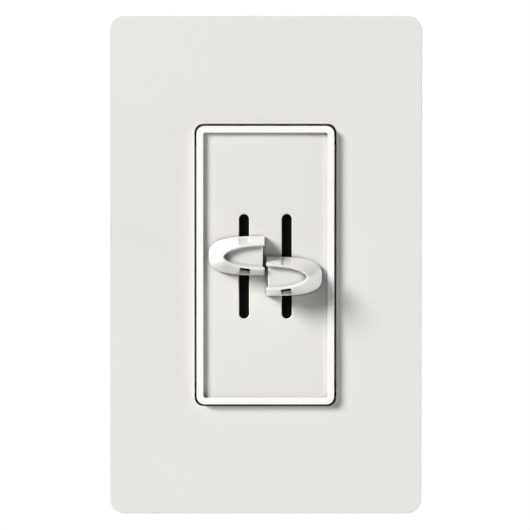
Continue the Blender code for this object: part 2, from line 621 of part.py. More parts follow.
def make_guide():
    """The black frame behind the face, with rails that guide both carriages."""
    half_x = BEZEL_WIDTH / 2 - BEZEL_WALL - GAP
    half_z = BEZEL_HEIGHT / 2 - BEZEL_WALL - GAP
    windows = [leg_window(side, 0.0006) for _, side, _ in SIDES]
    outline = rectangle(-half_x, half_x, -half_z, half_z)
    guide = slab("slider_guide", [outline, *windows], "Y", GUIDE_FRONT_Y, SEAT_Y, BLACK)
    floor_y, side_wall = GUIDE_FRONT_Y + 0.0012, 0.0008
    for name, low, high in (("upper", 0.0136, half_z - side_wall), ("lower", side_wall - half_z, -0.0142)):
        reach = (side_wall - half_x, half_x - side_wall)
        cut(guide, block(f"guide_pocket_{name}", reach, (floor_y, 0.0), (low, high)))
    rail_y = (FACE_BACK_Y + GAP, GUIDE_FRONT_Y + OVERLAP)
    rail_z = (-half_z + OVERLAP, half_z - OVERLAP)
    inner = SLOT_X - SHUTTER_WIDTH / 2 - GAP
    outer = SLOT_X + SHUTTER_WIDTH / 2 + GAP
    join(guide, block("guide_rail_middle", (-inner, inner), rail_y, rail_z))
    for side in (-1, 1):
        reach = sorted((side * outer, side * (outer + RAIL_THICK)))
        join(guide, block(f"guide_rail_{side}", reach, rail_y, rail_z))
    return guide


# What slides ---------------------------------------------------------------------------------------


def knob_loop(side, length, half_height, powers, y, shift=0.0):
    """A knob outline at one depth, as points in space; shift moves it back past the flat end."""
    return [
        Vector((side * (KNOB_CENTRE_GAP + along - shift), y, across))
        for along, across in half_superellipse(length, half_height, powers)
    ]


def loft(name, rings, material=None):
    """A solid through rings that have the same number of points, closed flat at both ends."""
    work = bmesh.new()
    made = [[work.verts.new(point) for point in ring] for ring in rings]
    for first, second in zip(made, made[1:]):
        for i in range(len(first)):
            j = (i + 1) % len(first)
            work.faces.new((first[i], first[j], second[j], second[i]))
    work.faces.new(made[0])
    work.faces.new(made[-1])
    face_out(work)
    mesh = bpy.data.meshes.new(name)
    work.to_mesh(mesh)
    work.free()
    return place(name, mesh, material)


def make_knob(name, side, rest_z):
    """A finger knob: steep flanks rise from a rounded outline to the crest round an open scoop."""
    crest_length = SCOOP_LENGTH + CREST_WIDTH
    crest_half = SCOOP_HALF_HEIGHT + CREST_WIDTH
    rings = [
        knob_loop(side, KNOB_LENGTH, KNOB_HALF_HEIGHT, KNOB_POWERS, KNOB_BASE_Y),
        knob_loop(side, KNOB_LENGTH, KNOB_HALF_HEIGHT, KNOB_POWERS, KNOB_BASE_Y - KNOB_SKIRT),
        knob_loop(side, crest_length, crest_half, CREST_POWERS, KNOB_CREST_Y),
    ]
    knob = loft(f"knob_{name}", rings, WHITE)
    length, half = SCOOP_LENGTH + PAST, SCOOP_HALF_HEIGHT
    floor_y, draft = KNOB_CREST_Y + SCOOP_DEPTH, 0.0003
    scoop_rings = [
        knob_loop(side, length, half, CREST_POWERS, KNOB_CREST_Y - PAST, PAST),
        knob_loop(side, length - draft, half - draft, CREST_POWERS, floor_y, PAST),
    ]
    centre_x = side * SLOT_X
    end_x = side * KNOB_CENTRE_GAP
    step_z = SCOOP_HALF_HEIGHT - OVERLAP
    socket_x, socket_z = STEM_WIDTH / 2 + GAP, TENON_HEIGHT / 2 + GAP
    cut(
        knob,
        loft(f"knob_scoop_{name}", scoop_rings),
        block(
            f"knob_end_{name}", sorted((end_x - side * PAST, end_x + side * 0.0004)),
            (KNOB_CREST_Y - PAST, KNOB_BASE_Y + PAST), (-step_z, step_z),
        ),
        block(
            f"knob_socket_{name}", (centre_x - socket_x, centre_x + socket_x),
            (KNOB_BASE_Y - TENON_LENGTH - GAP, KNOB_BASE_Y + PAST), (-socket_z, socket_z),
        ),
        *knob_notch(f"knob_notch_{name}", centre_x, side),
        knob_groove(f"knob_groove_{name}", centre_x),
    )
    for shape in [knob, *(modifier.object for modifier in knob.modifiers)]:
        shape.location.z = rest_z
    return knob


def knob_notch(name, centre_x, side):
    """The well in the lower flank, in line with the slot: an open step with a slit along its inner side."""
    cutters = []
    middle = Matrix.Translation((0.0, 0.0, -NOTCH_MIDDLE_Z))
    lean = middle @ Matrix.Rotation(-side * NOTCH_LEAN, 4, "Y") @ middle.inverted()
    # The slit is a little narrower than the step, so that the two cutters share no face.
    step = ("step", 0.0, KNOB_HALF_HEIGHT + PAST, NOTCH_FLOOR)
    for part, inset, z, floor in (step, ("slit", SLIT_INSET, SLIT_Z, -PAST)):
        half = NOTCH_WIDTH / 2 - inset
        depth = (KNOB_CREST_Y - PAST, KNOB_BASE_Y - floor)
        notch = block(f"{name}_{part}", (-half, half), depth, (-z, -NOTCH_Z - inset))
        notch.data.transform(Matrix.Translation((centre_x - side * NOTCH_SHIFT, 0.0, 0.0)) @ lean)
        cutters.append(notch)
    return cutters


def outline_height(along, length, half_height, powers):
    """How far a knob outline stands from its middle line, at one place along it."""
    return half_height * (1 - (along / length) ** powers[0]) ** (1 / powers[1])


def knob_groove(name, centre_x):
    """The shallow groove in the upper flank, in line with the slot."""
    foot = outline_height(SLOT_X, KNOB_LENGTH, KNOB_HALF_HEIGHT, KNOB_POWERS)
    head = outline_height(SLOT_X, SCOOP_LENGTH + CREST_WIDTH, SCOOP_HALF_HEIGHT + CREST_WIDTH, CREST_POWERS)
    foot_y, head_y = KNOB_BASE_Y - KNOB_SKIRT, KNOB_CREST_Y
    ends = []
    for y in (head_y + GROOVE_MARGIN, foot_y - GROOVE_MARGIN):
        ends.append((y, head + (foot - head) * (y - head_y) / (foot_y - head_y) - GROOVE_DEPTH))
    outline = [*ends, (ends[1][0], foot + PAST), (ends[0][0], foot + PAST)]
    return slab(name, [outline], "X", centre_x - NOTCH_WIDTH / 2, centre_x + NOTCH_WIDTH / 2)


def make_carriage(name, side, rest_z):
    """The slider behind the face: a shutter that keeps the slot dark, a stem, and a forked leg."""
    x = side * SLOT_X
    shutter = rounded(SHUTTER_WIDTH, 2 * SHUTTER_HALF, 0.0008, (x, rest_z), steps=2)
    carriage = slab(f"carriage_{name}", [shutter], "Y", SHUTTER_FRONT_Y, SHUTTER_BACK_Y, BLACK)
    half = STEM_WIDTH / 2
    stem = block(
        f"carriage_stem_{name}", (x - half, x + half),
        (FACE_Y, SHUTTER_FRONT_Y + OVERLAP), (rest_z - STEM_HEIGHT / 2, rest_z + STEM_HEIGHT / 2),
    )
    tenon = block(
        f"carriage_tenon_{name}", (x - half + OVERLAP / 2, x + half - OVERLAP / 2),
        (KNOB_BASE_Y - TENON_LENGTH, FACE_Y + OVERLAP), (rest_z - TENON_HEIGHT / 2, rest_z + TENON_HEIGHT / 2),
    )
    half_x, half_z = LEG_WIDTH / 2, LEG_HEIGHT / 2
    leg_y = SHUTTER_BACK_Y - OVERLAP
    leg = block(
        f"carriage_leg_{name}", (x - half_x, x + half_x), (leg_y, LEG_BACK_Y),
        (rest_z - half_z, rest_z + half_z),
    )
    toe = block(
        f"carriage_toe_{name}", (x - half_x + OVERLAP, x + half_x - OVERLAP),
        (LEG_BACK_Y - TOE_THICK, LEG_BACK_Y - OVERLAP / 2),
        (rest_z - half_z - TOE_LENGTH, rest_z - half_z + OVERLAP),
    )
    fork_half = LEVER_HEIGHT / 2 + GAP
    fork = block(
        f"carriage_fork_{name}", (x - half_x - PAST, x + half_x + PAST), (FORK_Y, LEG_BACK_Y + PAST),
        (rest_z - fork_half, rest_z + fork_half),
    )
    return cut(join(carriage, stem, tenon, leg, toe), fork)


def make_wiper(name, side, rest_z):
    """The moving contact inside a slide potentiometer, with the lever that the carriage's fork drives."""
    x = side * SLOT_X
    wiper = block(
        f"wiper_{name}", (x - WIPER_WIDTH / 2, x + WIPER_WIDTH / 2), (WIPER_FRONT_Y, WIPER_BACK_Y),
        (rest_z - WIPER_HEIGHT / 2, rest_z + WIPER_HEIGHT / 2), PHENOLIC,
    )
    lever = block(
        f"wiper_lever_{name}", (x - LEVER_WIDTH / 2, x + LEVER_WIDTH / 2),
        (FORK_Y + GAP, WIPER_FRONT_Y + OVERLAP), (rest_z - LEVER_HEIGHT / 2, rest_z + LEVER_HEIGHT / 2),
    )
    join(wiper, lever)
    for foot in (-1, 1):
        foot_x = x + foot * 0.0016
        shape = block(
            f"wiper_foot_{name}_{foot}", (foot_x - 0.0004, foot_x + 0.0004),
            (WIPER_BACK_Y - OVERLAP, TRACK_FRONT_Y - GAP), (rest_z - 0.0020, rest_z + 0.0008),
        )
        join(wiper, shape)
    return wiper


# The potentiometers and switches ---------------------------------------------------------------------


def make_potentiometer_case(name, side):
    """A folded metal can, open towards the board, with a slot for the lever."""
    x, half_x, half_z = side * SLOT_X, POT_WIDTH / 2, POT_LENGTH / 2
    case = block(
        f"potentiometer_case_{name}", (x - half_x, x + half_x), (POT_FRONT_Y, POT_BACK_Y),
        (SLOT_Z - half_z, SLOT_Z + half_z), ZINC,
    )
    inner_x, inner_z = half_x - POT_WALL, half_z - POT_WALL
    inside = block(
        f"potentiometer_inside_{name}", (x - inner_x, x + inner_x), (POT_FRONT_Y + POT_WALL, POT_BACK_Y + PAST),
        (SLOT_Z - inner_z, SLOT_Z + inner_z),
    )
    length = 2 * (TRAVEL + LEVER_HEIGHT / 2 + LEG_ROOM)
    slot = obround(length + POT_SLOT / 2, POT_SLOT, (x, SLOT_Z), upright=True, steps=4)
    lever_slot = slab(f"potentiometer_slot_{name}", [slot], "Y", POT_FRONT_Y - PAST, POT_FRONT_Y + PAST)
    return cut(case, inside, lever_slot)


def make_track(name, side):
    x, half_x, half_z = side * SLOT_X, POT_WIDTH / 2 - POT_WALL - GAP, POT_LENGTH / 2 - POT_WALL - GAP
    return block(
        f"resistor_track_{name}", (x - half_x, x + half_x), (TRACK_FRONT_Y, TRACK_BACK_Y),
        (SLOT_Z - half_z, SLOT_Z + half_z), PHENOLIC,
    )


def make_switch_leaf(name, side):
    """The spring contact that the carriage's toe lifts at the bottom of its travel, to turn that side off."""
    front, back = LEAF_Y, LEAF_Y + LEAF_THICK
    strip = [
        (front, LEAF_ROOT_Z), (back, LEAF_ROOT_Z), (back, LEAF_BEND_Z), (back - LEAF_LIFT, LEAF_TIP_Z),
        (front - LEAF_LIFT, LEAF_TIP_Z), (front, LEAF_BEND_Z),
    ]
    x = side * SLOT_X
    leaf = slab(f"switch_leaf_{name}", [strip], "X", x - LEAF_WIDTH / 2, x + LEAF_WIDTH / 2, BRASS)
    button = rod(
        f"leaf_button_{name}", CONTACT_R, "Y", (x, CONTACT_Z), LEAF_Y + LEAF_THICK / 2,
        LEAF_Y + LEAF_THICK + CONTACT_THICK, steps=12,
    )
    return join(leaf, button)


def make_switch_contact(name, side):
    """The fixed contact, on a post from the board."""
    x, top_y = side * SLOT_X, LEAF_Y + LEAF_THICK + CONTACT_THICK + GAP
    post = block(
        f"switch_contact_{name}", (x - 0.0012, x + 0.0012), (top_y + CONTACT_THICK, BOARD_FRONT_Y - GAP),
        (CONTACT_Z - 0.0010, CONTACT_Z + 0.0010), BRASS,
    )
    button = rod(
        f"contact_button_{name}", CONTACT_R * 0.9, "Y", (x, CONTACT_Z), top_y, top_y + CONTACT_THICK + OVERLAP,
        steps=12,
    )
    return join(post, button)


def make_switch_post(name, side):
    """The post that holds the leaf's fixed end."""
    x = side * SLOT_X
    return block(
        f"switch_post_{name}", (x - 0.0018, x + 0.0018), (LEAF_Y + LEAF_THICK + GAP, BOARD_FRONT_Y - GAP),
        (LEAF_ROOT_Z, LEAF_HINGE_Z), BRASS,
    )


def make_insulator():
    """The fibre sheet between the live parts and the yoke."""
    windows = [leg_window(side, 0.0006, below=0.0040) for _, side, _ in SIDES] + hook_windows(0.0005)
    outline = rectangle(-0.0188, 0.0188, -0.0262, 0.0158)
    return slab("insulator_sheet", [outline, *windows], "Y", BACK_SEAT_Y, BACK_SEAT_Y + 0.0003, FIBRE)


# The electronics -----------------------------------------------------------------------------------


def make_board():
    notch = HOUSING_BOSS + 0.0004
    half_x, half_z = HOUSING_WIDTH / 2 - HOUSING_WALL - GAP, HOUSING_HEIGHT / 2 - HOUSING_WALL - GAP
    outline = notched(half_x, half_z, notch - HOUSING_WALL, notch - HOUSING_WALL)
    return slab("circuit_board", [outline], "Y", BOARD_FRONT_Y, BOARD_BACK_Y, BOARD)


def make_triac(name, side):
    """A power triac: a metal tab, a moulded body and three leads bent back to the board."""
    x, front_y = side * TRIAC_X, BACK_SEAT_Y + PAD_THICK + 0.0002
    half = TRIAC_WIDTH / 2
    body = block(
        f"triac_{name}", (x - half, x + half), (front_y, front_y + TRIAC_THICK),
        (TRIAC_FOOT_Z, TRIAC_SHOULDER_Z), EPOXY,
    )
    tab = slab(
        f"triac_tab_{name}",
        [
            rectangle(x - half + OVERLAP, x + half - OVERLAP, TRIAC_SHOULDER_Z - OVERLAP, TRIAC_TOP_Z),
            circle(0.0018, (x, TRIAC_HOLE_Z), 12),
        ],
        "Y", front_y + OVERLAP / 2, front_y + TRIAC_TAB_THICK,
    )
    join(body, tab)
    lead_y, lead_z, bend_z = front_y + TRIAC_THICK / 2, TRIAC_FOOT_Z + OVERLAP, TRIAC_FOOT_Z - 0.0016
    for i in (-1, 0, 1):
        lead_x = x + i * LEAD_PITCH
        bend = [
            (lead_y, lead_z), (lead_y, bend_z), (BOARD_FRONT_Y - GAP, bend_z),
            (BOARD_FRONT_Y - GAP, bend_z + LEAD_SIZE), (lead_y + LEAD_SIZE, bend_z + LEAD_SIZE),
            (lead_y + LEAD_SIZE, lead_z),
        ]
        join(body, slab(f"triac_lead_{name}_{i}", [bend], "X", lead_x - LEAD_SIZE / 2, lead_x + LEAD_SIZE / 2))
    return body


def make_triac_pad(name, side):
    x, half = side * TRIAC_X, TRIAC_WIDTH / 2 + 0.0008
    loops = [
        rectangle(x - half, x + half, TRIAC_FOOT_Z - 0.0004, TRIAC_TOP_Z + 0.0004),
        circle(0.0018, (x, TRIAC_HOLE_Z), 12),
    ]
    return slab(f"triac_pad_{name}", loops, "Y", BACK_SEAT_Y - 0.0001, BACK_SEAT_Y - 0.0001 + PAD_THICK, PAD)


def make_triac_rivet(name, side):
    """The rivet that clamps a triac's tab to the yoke."""
    head_y, tail_y = SEAT_Y, BACK_SEAT_Y + PAD_THICK + 0.0002 + TRIAC_TAB_THICK + GAP
    shank_r = 0.0014
    profile = [
        (0.0, head_y - 0.0009), (0.0014, head_y - 0.0007), (0.0022, head_y), (shank_r, head_y),
        (shank_r, tail_y), (0.0024, tail_y), (0.0020, tail_y + 0.0006), (0.0, tail_y + 0.0006),
    ]
    return turned(f"triac_rivet_{name}", profile, "Y", (side * TRIAC_X, TRIAC_HOLE_Z), ZINC, steps=12)


def make_choke(name, side):
    """A ferrite ring with its copper winding, which leaves a sixth of the ring bare."""
    centre = (side * CHOKE_X, CHOKE_Z)
    low = PARTS_Y + WINDING_WALL + GAP
    high = low + CHOKE_HEIGHT
    core_loops = [circle(CHOKE_CORE_R, centre, 24), circle(CHOKE_HOLE_R, centre, 24)]
    core = slab(f"choke_core_{name}", core_loops, "Y", low, high, FERRITE)
    wall = WINDING_WALL + GAP
    outer_r, inner_r = CHOKE_CORE_R + wall, CHOKE_HOLE_R - wall
    half_turn = math.degrees(WINDING_TURN) / 2
    sector = arc(centre, outer_r, -half_turn, half_turn, 20) + arc(centre, inner_r, half_turn, -half_turn, 20)
    winding = slab(f"choke_winding_{name}", [sector], "Y", low - wall, high + wall, COPPER)
    hollow_loops = [circle(CHOKE_CORE_R + GAP, centre, 24), circle(CHOKE_HOLE_R - GAP, centre, 24)]
    return core, cut(winding, slab(f"choke_hollow_{name}", hollow_loops, "Y", low - GAP, high + GAP))


def make_box_capacitor(name, side, z, width, height, depth, material):
    x = side * CHOKE_X
    low = PARTS_Y
    capacitor = slab(
        name, [rounded(width, height, 0.0006, (x, z), steps=2)], "Y", low, low + depth, material
    )
    return round_edges(capacitor, low + depth, 0.0005, segments=1)


def make_resistor(name, side):
    """An axial resistor lying on the board: a body with fat ends on a bent lead."""
    z, y, half, reach = 0.0215, PARTS_Y + 0.0014, 0.0034, 0.0050
    x = side * CHOKE_X
    profile = [
        (0.0, -half), (0.0009, -half), (0.0012, -half + 0.0004), (0.0012, -half + 0.0012),
        (0.0010, -half + 0.0016), (0.0010, half - 0.0016), (0.0012, half - 0.0012),
        (0.0012, half - 0.0004), (0.0009, half), (0.0, half),
    ]
    body = turned(f"resistor_{name}", profile, "X", (y, z), TAN, steps=12)
    body.location.x = x
    size = LEAD_SIZE / 2
    lead = [
        (x - reach - size, PARTS_Y), (x - reach + size, PARTS_Y), (x - reach + size, y - size),
        (x + reach - size, y - size), (x + reach - size, PARTS_Y), (x + reach + size, PARTS_Y),
        (x + reach + size, y + size), (x - reach - size, y + size),
    ]
    return join(body, slab(f"resistor_lead_{name}", [lead], "Z", z - size, z + size))


# The housing and its terminals -------------------------------------------------------------------------


def make_housing():
    """The moulded back: a deep tray with a ledge for the board, screw bosses and terminal bays."""
    outer = rounded(HOUSING_WIDTH, HOUSING_HEIGHT, 0.0025, steps=3)
    housing = slab("rear_housing", [outer], "Y", BACK_SEAT_Y, HOUSING_BACK_Y, HOUSING_BLACK)
    round_edges(housing, HOUSING_BACK_Y, 0.0010)
    half_x, half_z = HOUSING_WIDTH / 2 - HOUSING_WALL, HOUSING_HEIGHT / 2 - HOUSING_WALL
    boss = HOUSING_BOSS - HOUSING_WALL
    front = notched(half_x, half_z, boss, boss)
    ledge = 0.0014
    bay_depth = half_x - ledge - (BAY_FLOOR_X - BAY_WALL)
    rear = notched(half_x - ledge, half_z - ledge, boss - ledge, boss - ledge, bay_depth)
    cut(
        housing,
        slab("housing_front_room", [front], "Y", -PAST, LEDGE_Y),
        slab("housing_rear_room", [rear], "Y", LEDGE_Y - PAST, HOUSING_BACK_Y - HOUSING_WALL),
    )
    for name, sx, sz in CORNERS:
        centre = (sx * HOUSING_SCREW_X, sz * HOUSING_SCREW_Z)
        cut(
            housing,
            rod(f"housing_bore_{name}", 0.0017, "Y", centre, -PAST, SCREW_SEAT_Y + PAST, steps=12),
            rod(f"housing_sink_{name}", 0.0028, "Y", centre, SCREW_SEAT_Y, HOUSING_BACK_Y + PAST),
        )
    for name, sx, sz in TERMINALS:
        cut(housing, *bay_cutters(name, sx, sz * TERMINAL_Z))
    label = rounded(0.0200, 0.0300, 0.0010, (0.0, 0.0), steps=2)
    cut(housing, slab("housing_label_recess", [label], "Y", HOUSING_BACK_Y - 0.0003, HOUSING_BACK_Y + PAST))
    return housing


def bay_cutters(name, sx, z):
    """A terminal's bay, the slot for its tab and the two holes for wires pushed in from behind."""
    outside = HOUSING_WIDTH / 2 + PAST
    bay = block(
        f"bay_{name}", sorted((sx * BAY_FLOOR_X, sx * outside)), (BAY_FRONT_Y, BAY_BACK_Y),
        (z - BAY_HALF, z + BAY_HALF),
    )
    tab = block(
        f"bay_tab_slot_{name}", sorted((sx * (BAY_FLOOR_X + OVERLAP), sx * (BAY_FLOOR_X + 0.0018))),
        (LEDGE_Y - PAST, BAY_FRONT_Y + PAST), (z - 0.0016, z + 0.0016),
    )
    holes = [
        rod(
            f"bay_wire_{name}_{i}", 0.0013, "Y", (sx * (BAY_FLOOR_X + 0.0024), z + i * 0.0026),
            BAY_BACK_Y - PAST, HOUSING_BACK_Y + PAST, steps=12,
        )
        for i in (-1, 1)
    ]
    return bay, tab, *holes


def make_terminal(name, sx, z):
    """A brass plate with a tab to the board, a clamp plate that grips the wire, and the screw."""
    plate_x = BAY_FLOOR_X + GAP
    clamp_x = plate_x + 0.0010 + 0.0005
    head_x = clamp_x + 0.0009 + GAP
    half, low, high = 0.0042, BAY_FRONT_Y + 0.0005, BAY_BACK_Y - 0.0006
    tab_y = BOARD_BACK_Y + GAP
    plate_outline = [
        (tab_y, z - 0.0012), (low, z - 0.0012), (low, z - half), (high, z - half),
        (high, z + half), (low, z + half), (low, z + 0.0012), (tab_y, z + 0.0012),
    ]
    hole = circle(0.0021, (TERMINAL_Y, z), 12)
    plate = slab(
        f"terminal_plate_{name}", [plate_outline, hole], "X",
        *sorted((sx * plate_x, sx * (plate_x + 0.0010))), BRASS,
    )
    clamp_loops = [rounded(0.0084, 0.0084, 0.0008, (TERMINAL_Y, z), steps=2), hole]
    clamp = slab(
        f"terminal_clamp_{name}", clamp_loops, "X", *sorted((sx * clamp_x, sx * (clamp_x + 0.0009))), ZINC
    )
    profile = [
        (0.0, plate_x + 0.0001), (0.0018, plate_x + 0.0001), (0.0018, head_x), (0.0037, head_x),
        (0.0037, head_x + 0.0009), (0.0030, head_x + 0.0017), (0.0, head_x + 0.0019),
    ]
    profile = [(radius, sx * along) for radius, along in profile]
    if sx < 0:
        profile.reverse()
    screw = turned(f"terminal_screw_{name}", profile, "X", (TERMINAL_Y, z), BRASS)
    cross = drive_cross(
        f"terminal_drive_{name}", "X", (TERMINAL_Y, z),
        *sorted((sx * (head_x + 0.0010), sx * (head_x + 0.0030))), reach=0.0021,
    )
    return plate, clamp, cut(screw, *cross)


# Everything together -----------------------------------------------------------------------------------


def shade_smooth_round_pieces():
    for thing in PARTS.objects:
        if thing.type == "MESH" and not thing.name.startswith(("circuit_board", "insulator")):
            thing.data.shade_smooth()
            thing.data.set_sharp_from_angle(angle=math.radians(30))


def build():
    slide_axis("wallplate_pull", (0.0, 0.0, 0.0), [make_cover()])
    make_adapter()
    make_yoke()
    make_bezel()
    make_guide()
    make_insulator()
    make_board()
    make_housing()
    make_ground_screw()
    for name, end in ENDS:
        make_adapter_screw(name, end)
        make_mounting_screw(name, end)
        make_retainer(name, end)
    for name, sx, sz in CORNERS:
        make_housing_screw(name, sx, sz)
    for name, sx, sz in TERMINALS:
        make_terminal(name, sx, sz * TERMINAL_Z)
    for name, side, rest_z in SIDES:
        sliding = [make(name, side, rest_z) for make in (make_knob, make_carriage, make_wiper)]
        slide_axis(f"slide_{name}", (side * SLOT_X, 0.0, rest_z), sliding)
        make_potentiometer_case(name, side)
        make_track(name, side)
        leaf = make_switch_leaf(name, side)
        slide_axis(f"leaf_pivot_{name}", (side * SLOT_X, LEAF_Y + LEAF_THICK / 2, LEAF_HINGE_Z), [leaf])
        make_switch_contact(name, side)
        make_switch_post(name, side)
        make_triac(name, side)
        make_triac_pad(name, side)
        make_triac_rivet(name, side)
        make_choke(name, side)
        make_box_capacitor(f"film_capacitor_{name}", side, 0.0030, 0.0130, 0.0062, 0.0110, YELLOW)
        make_box_capacitor(f"timing_capacitor_{name}", side, 0.0138, 0.0072, 0.0036, 0.0068, YELLOW)
        make_resistor(name, side)
    shade_smooth_round_pieces()


build()
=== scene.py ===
import json
import math

import bmesh
import bpy
from mathutils import Matrix, Vector


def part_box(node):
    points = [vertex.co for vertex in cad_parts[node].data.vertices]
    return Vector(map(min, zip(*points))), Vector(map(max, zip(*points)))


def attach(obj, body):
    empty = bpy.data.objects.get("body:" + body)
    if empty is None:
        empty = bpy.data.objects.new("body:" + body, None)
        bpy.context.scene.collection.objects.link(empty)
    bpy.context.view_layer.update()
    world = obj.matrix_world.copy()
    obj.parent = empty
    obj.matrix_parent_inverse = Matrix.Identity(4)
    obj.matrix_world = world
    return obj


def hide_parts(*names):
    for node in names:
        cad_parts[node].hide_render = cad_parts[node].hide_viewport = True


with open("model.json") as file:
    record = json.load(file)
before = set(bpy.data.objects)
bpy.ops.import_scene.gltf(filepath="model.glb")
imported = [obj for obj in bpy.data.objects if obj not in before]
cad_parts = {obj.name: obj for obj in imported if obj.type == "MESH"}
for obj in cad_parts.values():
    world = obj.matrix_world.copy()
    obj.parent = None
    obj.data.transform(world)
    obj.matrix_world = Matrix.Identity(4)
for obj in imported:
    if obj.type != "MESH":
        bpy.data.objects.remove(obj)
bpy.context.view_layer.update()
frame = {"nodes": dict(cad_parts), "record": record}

# A wall dimmer with two slide controls, behind a screwless wall plate. Metres, +Z up, the room at -Y.

SIDES = (("left", -1), ("right", 1))
MM = 0.001

# The camera ---------------------------------------------------------------------------------------

COVER_LOW, COVER_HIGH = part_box("wallplate_cover")
PLATE_FRONT_Y = COVER_LOW.y
CAMERA_DISTANCE, CAMERA_ELEVATION = 0.900, math.radians(2.2)
SENSOR_WIDTH, LENS = 36.0, 255.9
SHIFT_X, SHIFT_Y = -0.0008, 0.0002

camera_data = bpy.data.cameras.new("camera")
camera_data.sensor_width, camera_data.lens = SENSOR_WIDTH, LENS
camera_data.shift_x, camera_data.shift_y = SHIFT_X, SHIFT_Y
camera = bpy.data.objects.new("camera", camera_data)
bpy.context.scene.collection.objects.link(camera)
towards_camera = Vector((0.0, -math.cos(CAMERA_ELEVATION), math.sin(CAMERA_ELEVATION)))
camera.location = Vector((0.0, PLATE_FRONT_Y, 0.0)) + towards_camera * CAMERA_DISTANCE
camera.rotation_mode = "QUATERNION"
camera.rotation_quaternion = (-towards_camera).to_track_quat("-Z", "Y")
bpy.context.scene.camera = camera

# Light, floor and backdrop ------------------------------------------------------------------------

bpy.context.scene.view_settings.view_transform = "Standard"
AMBIENT_COLOUR, AMBIENT_STRENGTH = (0.94, 0.97, 1.0, 1.0), 0.07


def make_world():
    """White where the camera sees it, as the photograph's backdrop is, and a soft fill light otherwise."""
    world = bpy.data.worlds.new("studio")
    bpy.context.scene.world = world
    world.use_nodes = True
    nodes, links = world.node_tree.nodes, world.node_tree.links
    nodes.clear()
    path = nodes.new("ShaderNodeLightPath")
    fill, white = nodes.new("ShaderNodeBackground"), nodes.new("ShaderNodeBackground")
    white.inputs["Color"].default_value = (1.0, 1.0, 1.0, 1.0)
    fill.inputs["Color"].default_value = AMBIENT_COLOUR
    fill.inputs["Strength"].default_value = AMBIENT_STRENGTH
    mix, out = nodes.new("ShaderNodeMixShader"), nodes.new("ShaderNodeOutputWorld")
    links.new(path.outputs["Is Camera Ray"], mix.inputs[0])
    links.new(fill.outputs[0], mix.inputs[1])
    links.new(white.outputs[0], mix.inputs[2])
    links.new(mix.outputs[0], out.inputs["Surface"])


def make_light(name, towards, distance, size, watts, colour=(1.0, 1.0, 1.0)):
    """A disk light that shines on the middle of the wall plate from a direction."""
    data = bpy.data.lights.new(name, "AREA")
    data.shape, data.size, data.energy, data.color = "DISK", size, watts, colour
    light = bpy.data.objects.new(name, data)
    direction = Vector(towards).normalized()
    light.location = direction * distance
    light.rotation_mode = "QUATERNION"
    light.rotation_quaternion = (-direction).to_track_quat("-Z", "Y")
    bpy.context.scene.collection.objects.link(light)


make_world()
make_light("key_light", (-0.708, -0.524, 0.472), 4.80, 2.00, 350.0, (1.0, 0.991, 0.985))
make_light("side_fill", (0.97, -0.10, -0.20), 1.30, 0.60, 11.0, (0.97, 0.985, 1.0))
make_light("rear_light", (0.75, 0.80, 0.55), 1.30, 0.70, 14.0)
make_light("rear_fill", (-0.80, 0.70, 0.25), 1.30, 0.90, 7.0)
make_light("top_light", (0.10, 0.45, 1.00), 1.30, 0.70, 6.0)

# Materials ----------------------------------------------------------------------------------------

COLOUR_FIRST, COLOUR_LAST, COLOUR_RESULT = 6, 7, 2      # the Mix node's sockets for colours
OCCLUSION_RANGE, OCCLUSION_SAMPLES = (0.30, 0.80), 8
CONVEX_RANGE = (0.52, 0.60)                             # the pointiness of a convex edge
GLOW_RADIUS, COAT_ROUGHNESS = (1.0, 0.97, 0.93), 0.15


